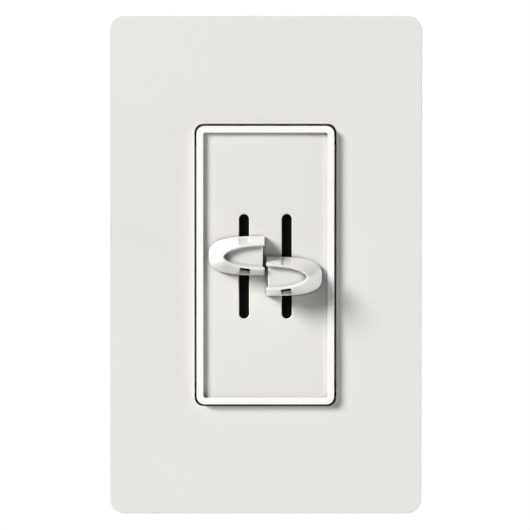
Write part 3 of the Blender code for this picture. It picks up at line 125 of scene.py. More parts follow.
def make_material(name, colour, roughness, metallic=0.0, mottle=(120.0, 0.03), grain=(4000.0, 0.01),
                  stretch=(1.0, 1.0, 1.0), rough_spread=0.06, second=None, coat=0.0, specular=0.5,
                  anisotropy=0.0, wear=0.0, painted_corner_shade=None, glow=None):
    """A procedural finish: colour that drifts, uneven gloss, a fine surface grain and painted shade in the
    corners.

    mottle is (scale, amount), grain is (scale, depth in mm), stretch is the grain's scale on each axis,
    second is a colour that patches drift towards, wear lightens the convex edges, painted_corner_shade,
    (reach in mm, brightness), is painted shade that darkens the colour in the corners little light gets
    into, and glow, (share, reach in mm), lets light pass under the surface.
    """
    material = bpy.data.materials.new(name)
    material.use_nodes = True
    nodes, links = material.node_tree.nodes, material.node_tree.links
    surface = nodes["Principled BSDF"]
    place = nodes.new("ShaderNodeTexCoord")
    brush = nodes.new("ShaderNodeMapping")
    brush.inputs["Scale"].default_value = stretch
    links.new(place.outputs["Object"], brush.inputs["Vector"])

    def noise(scale, source, detail=6.0):
        texture = nodes.new("ShaderNodeTexNoise")
        texture.inputs["Scale"].default_value = scale
        texture.inputs["Detail"].default_value = detail
        links.new(source, texture.inputs["Vector"])
        return texture.outputs["Fac"]

    def spread(source, low, high, source_range=(0.3, 0.7)):
        scale = nodes.new("ShaderNodeMapRange")
        for key, value in zip(("From Min", "From Max", "To Min", "To Max"), (*source_range, low, high)):
            scale.inputs[key].default_value = value
        links.new(source, scale.inputs["Value"])
        return scale.outputs["Result"]

    def mix(factor, first, last):
        blend = nodes.new("ShaderNodeMix")
        blend.data_type = "RGBA"
        for socket, value in ((COLOUR_FIRST, first), (COLOUR_LAST, last)):
            if isinstance(value, tuple):
                blend.inputs[socket].default_value = (*value, 1.0)
            else:
                links.new(value, blend.inputs[socket])
        links.new(factor, blend.inputs[0])
        return blend.outputs[COLOUR_RESULT]

    darker = tuple(max(value * (1 - mottle[1]), 0.0) for value in colour)
    lighter = tuple(min(value * (1 + mottle[1]), 1.0) for value in (second or colour))
    drift = noise(mottle[0], place.outputs["Object"])
    tint = mix(spread(drift, 0.0, 1.0), darker, lighter)
    fine = noise(grain[0], brush.outputs["Vector"], 4.0)
    if wear:
        shape = nodes.new("ShaderNodeNewGeometry")
        edge = spread(shape.outputs["Pointiness"], 0.0, wear, CONVEX_RANGE)
        tint = mix(edge, tint, tuple(min(value * 1.6 + 0.05, 1.0) for value in colour))
    # Painted shade: the colour darkens in the corners, recesses and gaps that ambient occlusion finds.
    if painted_corner_shade:
        occlusion = nodes.new("ShaderNodeAmbientOcclusion")
        occlusion.samples = OCCLUSION_SAMPLES
        occlusion.inputs["Distance"].default_value = painted_corner_shade[0] * MM
        open_share = spread(occlusion.outputs["AO"], 0.0, 1.0, OCCLUSION_RANGE)
        tint = mix(open_share, tuple(value * painted_corner_shade[1] for value in colour), tint)
    links.new(tint, surface.inputs["Base Color"])
    links.new(spread(fine, roughness - rough_spread, roughness + rough_spread), surface.inputs["Roughness"])
    bump = nodes.new("ShaderNodeBump")
    bump.inputs["Distance"].default_value = grain[1] * MM
    links.new(fine, bump.inputs["Height"])
    links.new(bump.outputs["Normal"], surface.inputs["Normal"])
    surface.inputs["Metallic"].default_value = metallic
    if glow:
        surface.inputs["Subsurface Weight"].default_value = glow[0]
        surface.inputs["Subsurface Radius"].default_value = GLOW_RADIUS
        surface.inputs["Subsurface Scale"].default_value = glow[1] * MM
    surface.inputs["Specular IOR Level"].default_value = specular
    surface.inputs["Coat Weight"].default_value = coat
    surface.inputs["Coat Roughness"].default_value = COAT_ROUGHNESS
    surface.inputs["Anisotropic"].default_value = anisotropy
    material.diffuse_color = (*colour, 1.0)
    return material


WHITE = (0.800, 0.787, 0.758)
FINISHES = {
    # Both white plastics carry painted shade: the bezel's recess and the knobs' scoops, notches and gaps
    # are darkened in the colour.
    "white_plastic": make_material("satin_white_plastic", WHITE, 0.34, mottle=(60.0, 0.006),
                                   grain=(9000.0, 0.0015), rough_spread=0.03, painted_corner_shade=(1.3, 0.45)),
    "knob_plastic": make_material("glossy_white_plastic", (0.80, 0.79, 0.77), 0.24, mottle=(80.0, 0.006),
                                  grain=(9000.0, 0.0008), rough_spread=0.03, painted_corner_shade=(1.8, 0.04),
                                  glow=(0.35, 1.6)),
    # A brighter copy of the white plastic for the rim's front faces: a painted highlight.
    "rim_painted_highlight": make_material("white_plastic_painted_highlight", (0.97, 0.96, 0.94), 0.26, mottle=(60.0, 0.005),
                                 grain=(9000.0, 0.001), rough_spread=0.03),
    # The guide and carriages are black plastic, and their colour is set darker still to paint the shade
    # deep in the slots.
    "black_plastic": make_material("black_plastic_and_painted_shade", (0.003, 0.003, 0.0035), 0.6, mottle=(200.0, 0.15),
                                   grain=(5000.0, 0.012), specular=0.15, wear=0.03),
    "housing_plastic": make_material("charcoal_moulding", (0.020, 0.020, 0.022), 0.52, mottle=(150.0, 0.2),
                                     grain=(3500.0, 0.02), wear=0.35),
    "yoke_aluminium": make_material("brushed_aluminium", (0.70, 0.71, 0.72), 0.34, 1.0, mottle=(90.0, 0.06),
                                    grain=(2500.0, 0.004), stretch=(1.0, 1.0, 0.03), anisotropy=0.4,
                                    wear=0.5),
    "zinc_steel": make_material("zinc_plate", (0.60, 0.60, 0.58), 0.32, 1.0, mottle=(350.0, 0.10),
                                grain=(2500.0, 0.006), second=(0.62, 0.60, 0.52), wear=0.5),
    "terminal_brass": make_material("tarnished_brass", (0.66, 0.46, 0.19), 0.34, 1.0, mottle=(300.0, 0.14),
                                    grain=(2500.0, 0.006), second=(0.74, 0.55, 0.27), wear=0.5),
    "green_screw": make_material("green_dyed_zinc", (0.03, 0.22, 0.08), 0.34, 0.6, mottle=(400.0, 0.2),
                                 grain=(2500.0, 0.006), second=(0.05, 0.30, 0.12), coat=0.3, wear=0.6),
    "copper_wire": make_material("enamelled_copper", (0.60, 0.22, 0.08), 0.30, 0.9, mottle=(400.0, 0.15),
                                 grain=(1500.0, 0.05), stretch=(1.0, 0.05, 1.0), coat=0.5),
    "ferrite": make_material("grey_ferrite", (0.045, 0.045, 0.05), 0.62, mottle=(900.0, 0.3),
                             grain=(3000.0, 0.03)),
    "board_laminate": make_material("green_laminate", (0.02, 0.14, 0.06), 0.38, mottle=(500.0, 0.2),
                                    grain=(2200.0, 0.01), second=(0.04, 0.20, 0.09), coat=0.4),
    "track_board": make_material("brown_phenolic", (0.20, 0.11, 0.05), 0.48, mottle=(250.0, 0.15),
                                 grain=(2000.0, 0.015), stretch=(1.0, 1.0, 0.2)),
    "triac_epoxy": make_material("black_epoxy", (0.02, 0.02, 0.021), 0.5, mottle=(600.0, 0.2),
                                 grain=(5000.0, 0.02)),
    "capacitor_yellow": make_material("yellow_case", (0.66, 0.42, 0.05), 0.36, mottle=(200.0, 0.08),
                                      grain=(3000.0, 0.01)),
    "resistor_tan": make_material("tan_lacquer", (0.58, 0.43, 0.25), 0.42, mottle=(500.0, 0.1),
                                  grain=(2500.0, 0.02)),
    "fibre_sheet": make_material("brown_fibre", (0.36, 0.16, 0.08), 0.72, mottle=(500.0, 0.2),
                                 grain=(1800.0, 0.05), second=(0.46, 0.24, 0.13), stretch=(1.0, 1.0, 0.3)),
    "thermal_pad": make_material("grey_silicone", (0.50, 0.50, 0.53), 0.75, mottle=(400.0, 0.08),
                                 grain=(2500.0, 0.02)),
}

# Mesh helpers -------------------------------------------------------------------------------------


def rounded(width, height, radius, y, centre=(0.0, 0.0), steps=8):
    """A rectangle with round corners, standing at one depth."""
    points = []
    a, b = width / 2 - radius, height / 2 - radius
    for x, z, start in ((a, b, 0), (-a, b, 90), (-a, -b, 180), (a, -b, 270)):
        for i in range(steps + 1):
            angle = math.radians(start + 90 * i / steps)
            across, up = x + radius * math.cos(angle), z + radius * math.sin(angle)
            points.append(Vector((centre[0] + across, y, centre[1] + up)))
    return points


def quarter(radius, steps=5):
    """Pairs (sideways, along) from a round edge's side, (0, radius), to its top, (radius, 0)."""
    angles = [math.radians(90 * i / steps) for i in range(steps + 1)]
    return [(radius * (1 - math.cos(a)), radius * (1 - math.sin(a))) for a in angles]


def make_object(name, work):
    """Turns a finished bmesh into an object whose faces look outwards."""
    bmesh.ops.recalc_face_normals(work, faces=work.faces)
    if work.calc_volume(signed=True) < 0:
        bmesh.ops.reverse_faces(work, faces=work.faces)
    mesh = bpy.data.meshes.new(name)
    work.to_mesh(mesh)
    work.free()
    thing = bpy.data.objects.new(name, mesh)
    bpy.context.scene.collection.objects.link(thing)
    return thing


def loft(name, rings, closed=False):
    """A solid through rings of points: capped at both ends, or closed into a tube."""
    work = bmesh.new()
    made = [[work.verts.new(point) for point in ring] for ring in rings]
    pairs = list(zip(made, made[1:])) + ([(made[-1], made[0])] if closed else [])
    for first, second in pairs:
        for i in range(len(first)):
            j = (i + 1) % len(first)
            work.faces.new((first[i], first[j], second[j], second[i]))
    if not closed:
        work.faces.new(made[0])
        work.faces.new(made[-1])
    return make_object(name, work)


def block(name, xs, ys, zs, bevel=0.0, turn=None):
    """A box between two places on each axis, with rounded edges; turn is applied round the origin."""
    work = bmesh.new()
    size = Matrix.Diagonal((xs[1] - xs[0], ys[1] - ys[0], zs[1] - zs[0], 1.0))
    middle = Matrix.Translation((sum(xs) / 2, sum(ys) / 2, sum(zs) / 2))
    bmesh.ops.create_cube(work, size=1.0, matrix=middle @ size)
    if bevel:
        bmesh.ops.bevel(work, geom=work.edges[:], offset=bevel, segments=3, profile=0.5, affect="EDGES",
                        clamp_overlap=True)
    if turn is not None:
        work.transform(turn)
    return make_object(name, work)


def bake(thing):
    """Makes the modifiers' result the object's own mesh."""
    graph = bpy.context.evaluated_depsgraph_get()
    mesh = bpy.data.meshes.new_from_object(thing.evaluated_get(graph))
    thing.modifiers.clear()
    thing.data = mesh
    return thing


def boolean(thing, operation, others):
    """Applies the other shapes to a thing one by one, and removes them."""
    for other in others:
        modifier = thing.modifiers.new(other.name, "BOOLEAN")
        modifier.operation, modifier.solver, modifier.object = operation, "EXACT", other
    bake(thing)
    for other in others:
        bpy.data.objects.remove(other)
    return thing


def cut(thing, *cutters):
    return boolean(thing, "DIFFERENCE", cutters)


def join(thing, *shapes):
    return boolean(thing, "UNION", shapes)


def finish_piece(thing, body, slot, *nodes, angle=30.0, weighted=True, look=None):
    """Gives a piece its finish, its body and the CAD nodes it stands for."""
    thing.data.materials.clear()
    thing.data.materials.append(FINISHES[look or slot])
    for face in thing.data.polygons:
        face.material_index = 0
    thing.data.shade_smooth()
    thing.data.set_sharp_from_angle(angle=math.radians(angle))
    if weighted:
        normals = thing.modifiers.new("flat_faces", "WEIGHTED_NORMAL")
        normals.keep_sharp = True
    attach(thing, body)
    if nodes:
        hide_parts(*nodes)
    return thing


# The wall plate -----------------------------------------------------------------------------------

PLATE_WIDTH, PLATE_HEIGHT = COVER_HIGH.x - COVER_LOW.x, COVER_HIGH.z - COVER_LOW.z
PLATE_CORNER, PLATE_WALL, PLATE_EDGE = 3.6 * MM, 1.8 * MM, 0.25 * MM
OPENING_WIDTH, OPENING_HEIGHT, OPENING_CORNER, OPENING_EDGE = 33.9 * MM, 67.5 * MM, 2.1 * MM, 0.04 * MM
CATCH_Z, CATCH_LENGTH, CATCH_DEPTH = 36.0 * MM, 8.0 * MM, 0.8 * MM
CATCH_FRONT_Y, CATCH_BACK_Y, CATCH_EDGE, PLATE_BACK_EDGE = -5.5 * MM, -2.2 * MM, 0.25 * MM, 0.25 * MM


def make_cover():
    """The plate's shell: a soft outer edge, a crisper opening, and four catches inside."""

    def outer_ring(inset, y):
        return rounded(PLATE_WIDTH - 2 * inset, PLATE_HEIGHT - 2 * inset, PLATE_CORNER - inset, y)

    def opening_ring(grow, y):
        return rounded(OPENING_WIDTH + 2 * grow, OPENING_HEIGHT + 2 * grow, OPENING_CORNER + grow, y)

    def cavity_ring(y):
        inner = 2 * PLATE_WALL
        return rounded(PLATE_WIDTH - inner, PLATE_HEIGHT - inner, PLATE_CORNER - PLATE_WALL, y)

    inside_y = PLATE_FRONT_Y + PLATE_WALL
    rings = [outer_ring(side, -along) for side, along in reversed(quarter(PLATE_BACK_EDGE, 3))]
    rings += [outer_ring(side, PLATE_FRONT_Y + along) for side, along in quarter(PLATE_EDGE, 7)]
    rings += [opening_ring(OPENING_EDGE - side, PLATE_FRONT_Y + along)
              for side, along in reversed(quarter(OPENING_EDGE, 4))]
    rings += [opening_ring(0.0, inside_y), cavity_ring(inside_y), cavity_ring(0.0)]
    cover = loft("wall_plate", rings, closed=True)
    wall_x = PLATE_WIDTH / 2 - PLATE_WALL
    catches = []
    for z in (-CATCH_Z, CATCH_Z):
        for side in (-1, 1):
            reach = sorted((side * (wall_x - CATCH_DEPTH), side * (wall_x + CATCH_DEPTH)))
            catches.append(block("catch", reach, (CATCH_FRONT_Y, CATCH_BACK_Y),
                                 (z - CATCH_LENGTH / 2, z + CATCH_LENGTH / 2), CATCH_EDGE))
    return finish_piece(join(cover, *catches), "cover", "white_plastic", "wallplate_cover")


make_cover()

# The bezel ----------------------------------------------------------------------------------------

BEZEL_LOW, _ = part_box("front_bezel")
BEZEL_WIDTH, BEZEL_HEIGHT, BEZEL_CORNER = OPENING_WIDTH - 1.08 * MM, OPENING_HEIGHT - 1.06 * MM, 1.9 * MM
RIM_Y, FACE_RECESS, FACE_THICKNESS, RIM_WIDTH = BEZEL_LOW.y, 1.0 * MM, 1.4 * MM, 1.55 * MM
FACE_Y = RIM_Y + FACE_RECESS
SEAT_Y, BEZEL_WALL, OUTER_EDGE, INNER_EDGE = -1.9 * MM, 1.2 * MM, 0.08 * MM, 0.10 * MM
FACE_CORNER, BACK_CORNER, FACE_FILLET, FACING_FRONT = 0.6 * MM, 0.8 * MM, 0.12 * MM, -0.1
SLOT_X, SLOT_Z, SLOT_WIDTH, SLOT_LENGTH = 5.1 * MM, -0.3 * MM, 2.4 * MM, 25.0 * MM
SLOT_FLARE = ((0.45, -0.30), (0.22, 0.0), (0.10, 0.06), (0.03, 0.16), (0.0, 0.30), (0.0, 2.4))
HOOK_X, HOOK_Z, HOOK_THICK, HOOK_LENGTH, HOOK_BARB = 15.95 * MM, 10.0 * MM, 0.8 * MM, 4.0 * MM, 0.7 * MM
HOOK_ROOT_Y, HOOK_BARB_Y, HOOK_TIP_Y = SEAT_Y - 1.0 * MM, 0.3 * MM, 1.5 * MM


def slot_cutter(side):
    """A slot with a slightly flared front edge; SLOT_FLARE is (how much wider, how deep) in mm."""
    rings = []
    for grow, depth in SLOT_FLARE:
        width, length = SLOT_WIDTH + 2 * grow * MM, SLOT_LENGTH + 2 * grow * MM
        centre = (side * SLOT_X, SLOT_Z)
        rings.append(rounded(width, length, width / 2 - 1e-6, FACE_Y + depth * MM, centre, steps=10))
    return loft("slot", rings)


def hook(sx, sz):
    """One hook: a leg through the yoke, with a barb behind it."""
    inner, outer = HOOK_X - HOOK_THICK / 2, HOOK_X + HOOK_THICK / 2
    outline = [(inner, HOOK_ROOT_Y), (outer, HOOK_ROOT_Y), (outer, HOOK_BARB_Y),
               (outer + HOOK_BARB, HOOK_BARB_Y), (outer, HOOK_TIP_Y), (inner, HOOK_TIP_Y)]
    ends = (sz * HOOK_Z - HOOK_LENGTH / 2, sz * HOOK_Z + HOOK_LENGTH / 2)
    return loft("hook", [[Vector((sx * x, y, z)) for x, y in outline] for z in ends])


def make_bezel():
    """The white front: a softly rounded rim round a sunk face with two slots."""

    def outer_ring(inset, y):
        return rounded(BEZEL_WIDTH - 2 * inset, BEZEL_HEIGHT - 2 * inset, BEZEL_CORNER - inset, y)

    def inner_ring(grow, y):
        width, height = BEZEL_WIDTH - 2 * RIM_WIDTH, BEZEL_HEIGHT - 2 * RIM_WIDTH
        return rounded(width + 2 * grow, height + 2 * grow, FACE_CORNER + grow, y)

    back = 2 * BEZEL_WALL
    rings = [rounded(BEZEL_WIDTH - back, BEZEL_HEIGHT - back, BACK_CORNER, y)
             for y in (FACE_Y + FACE_THICKNESS, SEAT_Y)]
    rings += [outer_ring(0.0, SEAT_Y)]
    rings += [outer_ring(side, RIM_Y + along) for side, along in quarter(OUTER_EDGE, 6)]
    rings += [inner_ring(INNER_EDGE - side, RIM_Y + along)
              for side, along in reversed(quarter(INNER_EDGE, 5))]
    rings += [inner_ring(-FACE_FILLET * share, FACE_Y - FACE_FILLET * above)
              for share, above in ((0.0, 1.0), (0.3, 0.3), (1.0, 0.0))]
    bezel = loft("bezel", rings)
    cut(bezel, *(slot_cutter(side) for _, side in SIDES))
    join(bezel, *(hook(sx, sz) for sx in (-1, 1) for sz in (-1, 1)))
    finish_piece(bezel, "chassis", "white_plastic", "front_bezel")
    # The rim's front faces take the brighter copy of the white plastic: a painted highlight on the rim.
    bezel.data.materials.append(FINISHES["rim_painted_highlight"])
    for face in bezel.data.polygons:
        if face.center.y < RIM_Y + OUTER_EDGE and face.normal.y < FACING_FRONT:
            face.material_index = 1
    return bezel


make_bezel()

# The knobs ----------------------------------------------------------------------------------------

KNOB_LENGTH, KNOB_HALF_HEIGHT, KNOB_SKIRT = 13.3 * MM, 4.7 * MM, 0.9 * MM
SCOOP_LENGTH, SCOOP_HALF_HEIGHT, CREST_WIDTH = 9.7 * MM, 2.7 * MM, 0.4 * MM
SCOOP_PROFILE = ((0.0, -1.0), (0.0, 0.0), (-0.03, 0.5), (-0.03, 1.0), (0.05, 1.22), (0.22, 1.35))
KNOB_POWERS, CREST_POWERS = (3.0, 3.0), (2.3, 1.75)
KNOB_CENTRE_GAP, END_WALL, END_WALL_MARGIN = 0.2 * MM, 0.4 * MM, 0.2 * MM
NOTCH_WIDTH, NOTCH_Z, SLIT_Z, NOTCH_FLOOR = 2.45 * MM, 2.75 * MM, 3.35 * MM, 1.3 * MM
NOTCH_LEAN, NOTCH_MIDDLE_Z, NOTCH_SHIFT, SLIT_INSET = math.radians(8), 3.5 * MM, 0.2 * MM, 0.02 * MM
GROOVE_DEPTH, GROOVE_MARGIN = 0.15 * MM, 0.63 * MM
STEM_SOCKET_X, STEM_SOCKET_Z, STEM_SOCKET_Y = 1.2 * MM, 2.1 * MM, 3.9 * MM
VOXEL, SOFTENING = 0.085 * MM, 4
PAST = 1.0 * MM                                         # how far a cutter reaches past the surface it cuts


def half_superellipse(length, half_height, powers, steps=64):
    """The curved side of a knob outline: (along / length) ** p + (across / half_height) ** q = 1."""
    points = []
    for i in range(steps + 1):
        angle = math.radians(-90 + 180 * i / steps)
        along = length * max(math.cos(angle), 0.0) ** (2 / powers[0])
        points.append((along, math.copysign(half_height * abs(math.sin(angle)) ** (2 / powers[1]), angle)))
    return points


def outline_height(along, length, half_height, powers):
    """How far a knob outline stands from its middle line, at one place along it."""
    return half_height * (1 - (along / length) ** powers[0]) ** (1 / powers[1])


def notch_cutters(side, centre_x, centre_z, base_y, crest_y):
    """The lower flank's open step with a deep slit along it, and the upper flank's shallow groove."""
    cutters, half = [], NOTCH_WIDTH / 2
    middle = Matrix.Translation((0.0, 0.0, -NOTCH_MIDDLE_Z))
    turn = (Matrix.Translation((centre_x - side * NOTCH_SHIFT, 0.0, centre_z)) @ middle
            @ Matrix.Rotation(-side * NOTCH_LEAN, 4, "Y") @ middle.inverted())
    for depth_z, floor in ((KNOB_HALF_HEIGHT + PAST, NOTCH_FLOOR), (SLIT_Z, -PAST)):
        cutters.append(block("notch", (-half, half), (crest_y - PAST, base_y - floor), (-depth_z, -NOTCH_Z),
                             turn=turn))
        half -= SLIT_INSET
    foot = outline_height(SLOT_X, KNOB_LENGTH, KNOB_HALF_HEIGHT, KNOB_POWERS)
    head = outline_height(SLOT_X, SCOOP_LENGTH + CREST_WIDTH, SCOOP_HALF_HEIGHT + CREST_WIDTH, CREST_POWERS)
    foot_y = base_y - KNOB_SKIRT
    outline = []
    for y in (crest_y + GROOVE_MARGIN, foot_y - GROOVE_MARGIN):
        flank = head + (foot - head) * (y - crest_y) / (foot_y - crest_y)
        outline.append((y, centre_z + flank - GROOVE_DEPTH))
    outline += [(y, centre_z + foot + PAST) for y, _ in reversed(outline)]
    groove = [[Vector((centre_x + end * NOTCH_WIDTH / 2, y, z)) for y, z in outline] for end in (-1, 1)]
    return [*cutters, loft("groove", groove)]


def make_knob(name, side):
    """A finger knob: steep flanks, a scoop inside a crest, a notch below and a groove above.

    SCOOP_PROFILE is (how far inside the scoop's outline, how deep) in mm.
    """
    low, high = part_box(f"knob_{name}")
    centre_z, base_y, crest_y = (low.z + high.z) / 2, high.y, low.y

    def ring(length, half_height, powers, y, shift=0.0):
        return [Vector((side * (KNOB_CENTRE_GAP + along - shift), y, centre_z + across))
                for along, across in half_superellipse(length, half_height, powers)]

    crest_length, crest_half = SCOOP_LENGTH + CREST_WIDTH, SCOOP_HALF_HEIGHT + CREST_WIDTH
    knob = loft(f"knob_{name}_shell", [
        ring(KNOB_LENGTH, KNOB_HALF_HEIGHT, KNOB_POWERS, base_y),
        ring(KNOB_LENGTH, KNOB_HALF_HEIGHT, KNOB_POWERS, base_y - KNOB_SKIRT),
        ring(crest_length, crest_half, CREST_POWERS, crest_y),
    ])
    scoop = loft("scoop", [
        ring(SCOOP_LENGTH + PAST - inset * MM, SCOOP_HALF_HEIGHT - inset * MM, CREST_POWERS,
             crest_y + depth * MM, PAST)
        for inset, depth in SCOOP_PROFILE
    ])
    end_x = side * KNOB_CENTRE_GAP
    step_z = SCOOP_HALF_HEIGHT - END_WALL_MARGIN
    end_wall = block("end_wall", sorted((end_x - side * PAST, end_x + side * END_WALL)),
                     (crest_y - PAST, base_y + PAST), (centre_z - step_z, centre_z + step_z))
    centre_x = side * SLOT_X
    socket = block("socket", (centre_x - STEM_SOCKET_X, centre_x + STEM_SOCKET_X),
                   (base_y - STEM_SOCKET_Y, base_y + PAST),
                   (centre_z - STEM_SOCKET_Z, centre_z + STEM_SOCKET_Z))
    cut(knob, scoop, end_wall, socket, *notch_cutters(side, centre_x, centre_z, base_y, crest_y))
    remesh = knob.modifiers.new("voxels", "REMESH")
    remesh.mode, remesh.voxel_size = "VOXEL", VOXEL
    soften = knob.modifiers.new("soften", "SMOOTH")
    soften.factor, soften.iterations = 0.5, SOFTENING
    bake(knob)
    return finish_piece(knob, f"{name}_slider", "white_plastic", f"knob_{name}", angle=60.0, weighted=False,
                        look="knob_plastic")


for side_name, side_sign in SIDES:
    make_knob(side_name, side_sign)

# Screws -------------------------------------------------------------------------------------------

PITCH_6_32, PITCH_BACK = 0.794 * MM, 1.0 * MM
STATIONS_PER_PITCH, CROSS_TAPER = 8, 0.6
TINY = 1e-7
MOUNTING_HEAD = ((0.0, -2.1), (0.7, -2.09), (1.3, -2.02), (1.9, -1.88), (2.5, -1.66), (3.0, -1.32),
                 (3.3, -0.98), (3.46, -0.60), (3.5, -0.30), (3.44, -0.06), (3.36, 0.0))
ADAPTER_HEAD = ((0.0, 0.0), (3.1, 0.0), (3.25, 0.05), (3.3, 0.18))
HOUSING_HEAD = ((2.3, 0.0), (2.4, 0.1), (2.4, 0.5), (2.2, 0.95), (1.8, 1.3), (1.1, 1.53))
TERMINAL_HEAD = ((1.8, 0.0), (3.55, 0.0), (3.7, 0.15), (3.7, 0.75), (3.6, 1.1), (3.3, 1.45), (2.6, 1.75),
                 (1.4, 1.87))


def turned(name, profile, place, thread=None, segments=40):
    """A solid of revolution from (radius, along) pairs; place maps (across, up, along) to space.

    thread is (low, high, pitch, depth): between those two places the surface carries a helical groove.
    """
    low, high, pitch, depth = thread or (0.0, 0.0, 1.0, 0.0)

    def radius_at(radius, along, turn):
        if not thread or not low < along < high:
            return radius
        phase = (along / pitch - turn) % 1.0
        groove = 1.0 - abs(2.0 * phase - 1.0)
        fade = min((along - low) / pitch, (high - along) / pitch, 1.0)
        return radius - depth * groove * fade

    stations = []
    for (r0, s0), (r1, s1) in zip(profile, profile[1:]):
        inside = thread and min(s0, s1) < high and max(s0, s1) > low and abs(s1 - s0) > pitch
        count = max(int(abs(s1 - s0) / pitch * STATIONS_PER_PITCH), 1) if inside else 1
        stations += [(r0 + (r1 - r0) * i / count, s0 + (s1 - s0) * i / count) for i in range(count)]
    stations.append(profile[-1])
    work = bmesh.new()
    rings = []
    for radius, along in stations:
        if radius < TINY:
            rings.append([work.verts.new(place(0.0, 0.0, along))])
            continue
        ring = []
        for i in range(segments):
            turn = i / segments
            angle, r = 2 * math.pi * turn, radius_at(radius, along, turn)
            ring.append(work.verts.new(place(r * math.cos(angle), r * math.sin(angle), along)))
        rings.append(ring)
    for first, second in zip(rings, rings[1:]):
        for i in range(segments):
            j = (i + 1) % segments
            if len(first) == 1:
                work.faces.new((first[0], second[i], second[j]))
            elif len(second) == 1:
                work.faces.new((first[i], first[j], second[0]))
            else:
                work.faces.new((first[i], first[j], second[j], second[i]))
    return make_object(name, work)


def straight_slot(name, place, low, high, reach, width, taper=1.0, upright=False):
    """A slot's cutter from low to high, where its length is down to taper and its width by half as much."""
    rings = []
    for along, share in ((low, 1.0), (high, taper)):
        a, b = reach * share, width / 2 * (0.5 + share / 2)
        corners = ((a, b), (-a, b), (-a, -b), (a, -b))
        rings.append([place(v, u, along) if upright else place(u, v, along) for u, v in corners])
    return loft(name, rings)


def cross_drive(place, low, high, reach, width):
    """The two cutters of a cross recess that narrows towards its floor."""
    return [straight_slot("drive", place, low, high, reach, width, CROSS_TAPER, upright)
            for upright in (False, True)]


def along_y(x, z):
    """Places a screw's own (across, up, along) with its axis along Y."""
    return lambda across, up, along: Vector((x + across, along, z + up))


def along_x(side, y, z):
    """Places a screw's own (across, up, along) with its axis along X, growing away from the middle."""
    return lambda across, up, along: Vector((side * along, y + across, z + up))


def finish_screw(screw, slot, node):
    """Every screw belongs to the chassis and keeps its own smooth normals."""
    return finish_piece(screw, "chassis", slot, node, angle=35.0, weighted=False)


def scaled(pairs, start):
    """(radius, along) pairs in millimetres, moved to a place along the screw."""
    return [(radius * MM, start + along * MM) for radius, along in pairs]


def make_mounting_screw(name):
    """An oval-head box screw with a combined cross and slot."""
    low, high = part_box(f"mounting_screw_{name}")
    place = along_y(0.0, (low.z + high.z) / 2)
    seat, tip, shank = SEAT_Y, high.y, 1.65 * MM
    profile = scaled(MOUNTING_HEAD, seat)
    profile += [(shank, seat), (shank, tip - 1.1 * MM), (shank * 0.62, tip - 0.1 * MM), (shank * 0.5, tip),
                (0.0, tip)]
    thread = (seat + 3.4 * MM, tip - 0.4 * MM, PITCH_6_32, 0.34 * MM)
    screw = turned(f"box_screw_{name}", profile, place, thread)
    cut(screw, *cross_drive(place, seat - 3.0 * MM, seat - 0.6 * MM, reach=1.9 * MM, width=0.9 * MM),
        straight_slot("slot", place, seat - 3.0 * MM, seat - 1.35 * MM, reach=4.0 * MM, width=0.8 * MM))
    return finish_screw(screw, "zinc_steel", f"mounting_screw_{name}")


def make_adapter_screw(name):
    """A slotted flat-head screw that holds the plate's carrier."""
    low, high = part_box(f"adapter_screw_{name}")
    place = along_y(0.0, (low.z + high.z) / 2)
    front, tip, shank = low.y, high.y, 1.6 * MM
    profile = scaled(ADAPTER_HEAD, front)
    profile += [(shank, front + 1.7 * MM), (shank, tip - 0.6 * MM), (shank * 0.7, tip), (0.0, tip)]
    thread = (front + 2.4 * MM, tip - 0.2 * MM, PITCH_6_32, 0.30 * MM)
    screw = turned(f"plate_screw_{name}", profile, place, thread)
    cut(screw, straight_slot("slot", place, front - 1.0 * MM, front + 0.7 * MM, reach=4.0 * MM,
                             width=0.8 * MM))
    return finish_screw(screw, "zinc_steel", f"adapter_screw_{name}")


def make_housing_screw(name):
    """A pan-head screw in the housing's back, with a cross drive."""
    low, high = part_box(f"housing_screw_{name}")
    place = along_y((low.x + high.x) / 2, (low.z + high.z) / 2)
    tip, top, shank = low.y, high.y, 1.3 * MM
    seat = top - 1.6 * MM
    profile = [(0.0, tip), (shank * 0.55, tip), (shank, tip + 0.6 * MM), (shank, seat)]
    profile += [*scaled(HOUSING_HEAD, seat), (0.0, top)]
    thread = (tip + 0.4 * MM, seat - 0.5 * MM, PITCH_BACK, 0.25 * MM)
    screw = turned(f"back_screw_{name}", profile, place, thread)
    cut(screw, *cross_drive(place, top + 0.6 * MM, top - 0.9 * MM, reach=1.3 * MM, width=0.6 * MM))
    return finish_screw(screw, "zinc_steel", f"housing_screw_{name}")


def make_terminal_screw(name, side):
    """A broad terminal screw with a combined cross and slot."""
    low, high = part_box(f"terminal_screw_{name}")
    place = along_x(side, (low.y + high.y) / 2, (low.z + high.z) / 2)
    foot, top = sorted((abs(low.x), abs(high.x)))
    seat = top - 1.9 * MM
    profile = [(0.0, foot), (1.8 * MM, foot), *scaled(TERMINAL_HEAD, seat), (0.0, top)]
    thread = (foot + 0.2 * MM, seat - 0.1 * MM, PITCH_6_32, 0.25 * MM)
    screw = turned(f"wire_screw_{name}", profile, place, thread)
    cut(screw, *cross_drive(place, top + 1.0 * MM, top - 1.2 * MM, reach=2.1 * MM, width=0.9 * MM),
        straight_slot("slot", place, top + 1.0 * MM, top - 0.75 * MM, reach=5.0 * MM, width=0.8 * MM))
    return finish_screw(screw, "terminal_brass", f"terminal_screw_{name}")


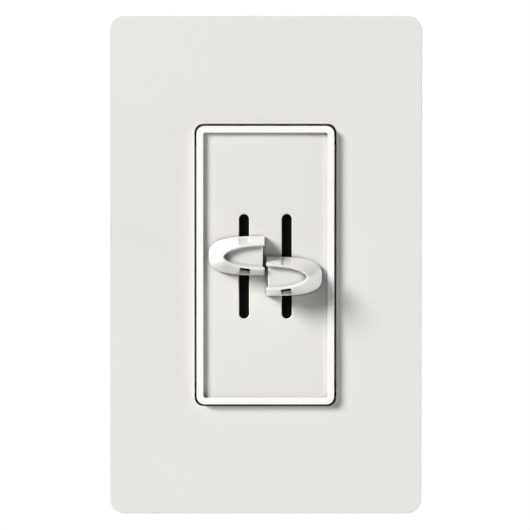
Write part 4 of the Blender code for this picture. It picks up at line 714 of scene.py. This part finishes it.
for end_name in ("top", "bottom"):
    make_mounting_screw(end_name)
    make_adapter_screw(end_name)
for corner in ("top_left", "top_right", "bottom_left", "bottom_right"):
    make_housing_screw(corner)
for terminal, terminal_side in (("line", -1), ("load_one", 1), ("load_two", 1)):
    make_terminal_screw(terminal, terminal_side)

# The CAD pieces that stay -------------------------------------------------------------------------

SOFT_EDGES = {"rear_housing": 0.30, "wallplate_adapter": 0.20, "yoke": 0.12, "screw_retainer_top": 0.08,
              "screw_retainer_bottom": 0.08, "ground_screw": 0.15, "slider_guide": 0.10}     # in mm
OTHER_EDGES, EDGE_ANGLE, WELD_REACH = 0.06, math.radians(38), 0.01 * MM


def dress_cad_nodes():
    """Each carried-over node gets its slot's finish and eased edges."""
    slots = {row["node"]: row["material_slot"] for row in frame["record"]["subparts"]}
    for name, thing in frame["nodes"].items():
        if thing.hide_render:
            continue
        slot = slots[name]
        thing.data.materials.clear()
        thing.data.materials.append(FINISHES[slot])
        weld = thing.modifiers.new("weld", "WELD")
        weld.merge_threshold = WELD_REACH
        bevel = thing.modifiers.new("eased_edges", "BEVEL")
        bevel.limit_method, bevel.angle_limit = "ANGLE", EDGE_ANGLE
        bevel.width, bevel.segments = SOFT_EDGES.get(name, OTHER_EDGES) * MM, 2
        bevel.harden_normals = True


dress_cad_nodes()

# Floor, size and end ------------------------------------------------------------------------------

FLOOR_Z, FLOOR_RADIUS = -1.22, 1.6


def make_floor():
    """A plain pale floor, far enough below for its shadow not to show."""
    work = bmesh.new()
    bmesh.ops.create_circle(work, cap_ends=True, segments=96, radius=FLOOR_RADIUS,
                            matrix=Matrix.Translation((0.0, 0.0, FLOOR_Z)))
    mesh = bpy.data.meshes.new("floor")
    work.to_mesh(mesh)
    work.free()
    floor = bpy.data.objects.new("floor", mesh)
    bpy.context.scene.collection.objects.link(floor)
    mesh.materials.append(make_material("pale_floor", (0.86, 0.86, 0.86), 0.8, mottle=(6.0, 0.004),
                                        grain=(300.0, 0.02)))


make_floor()
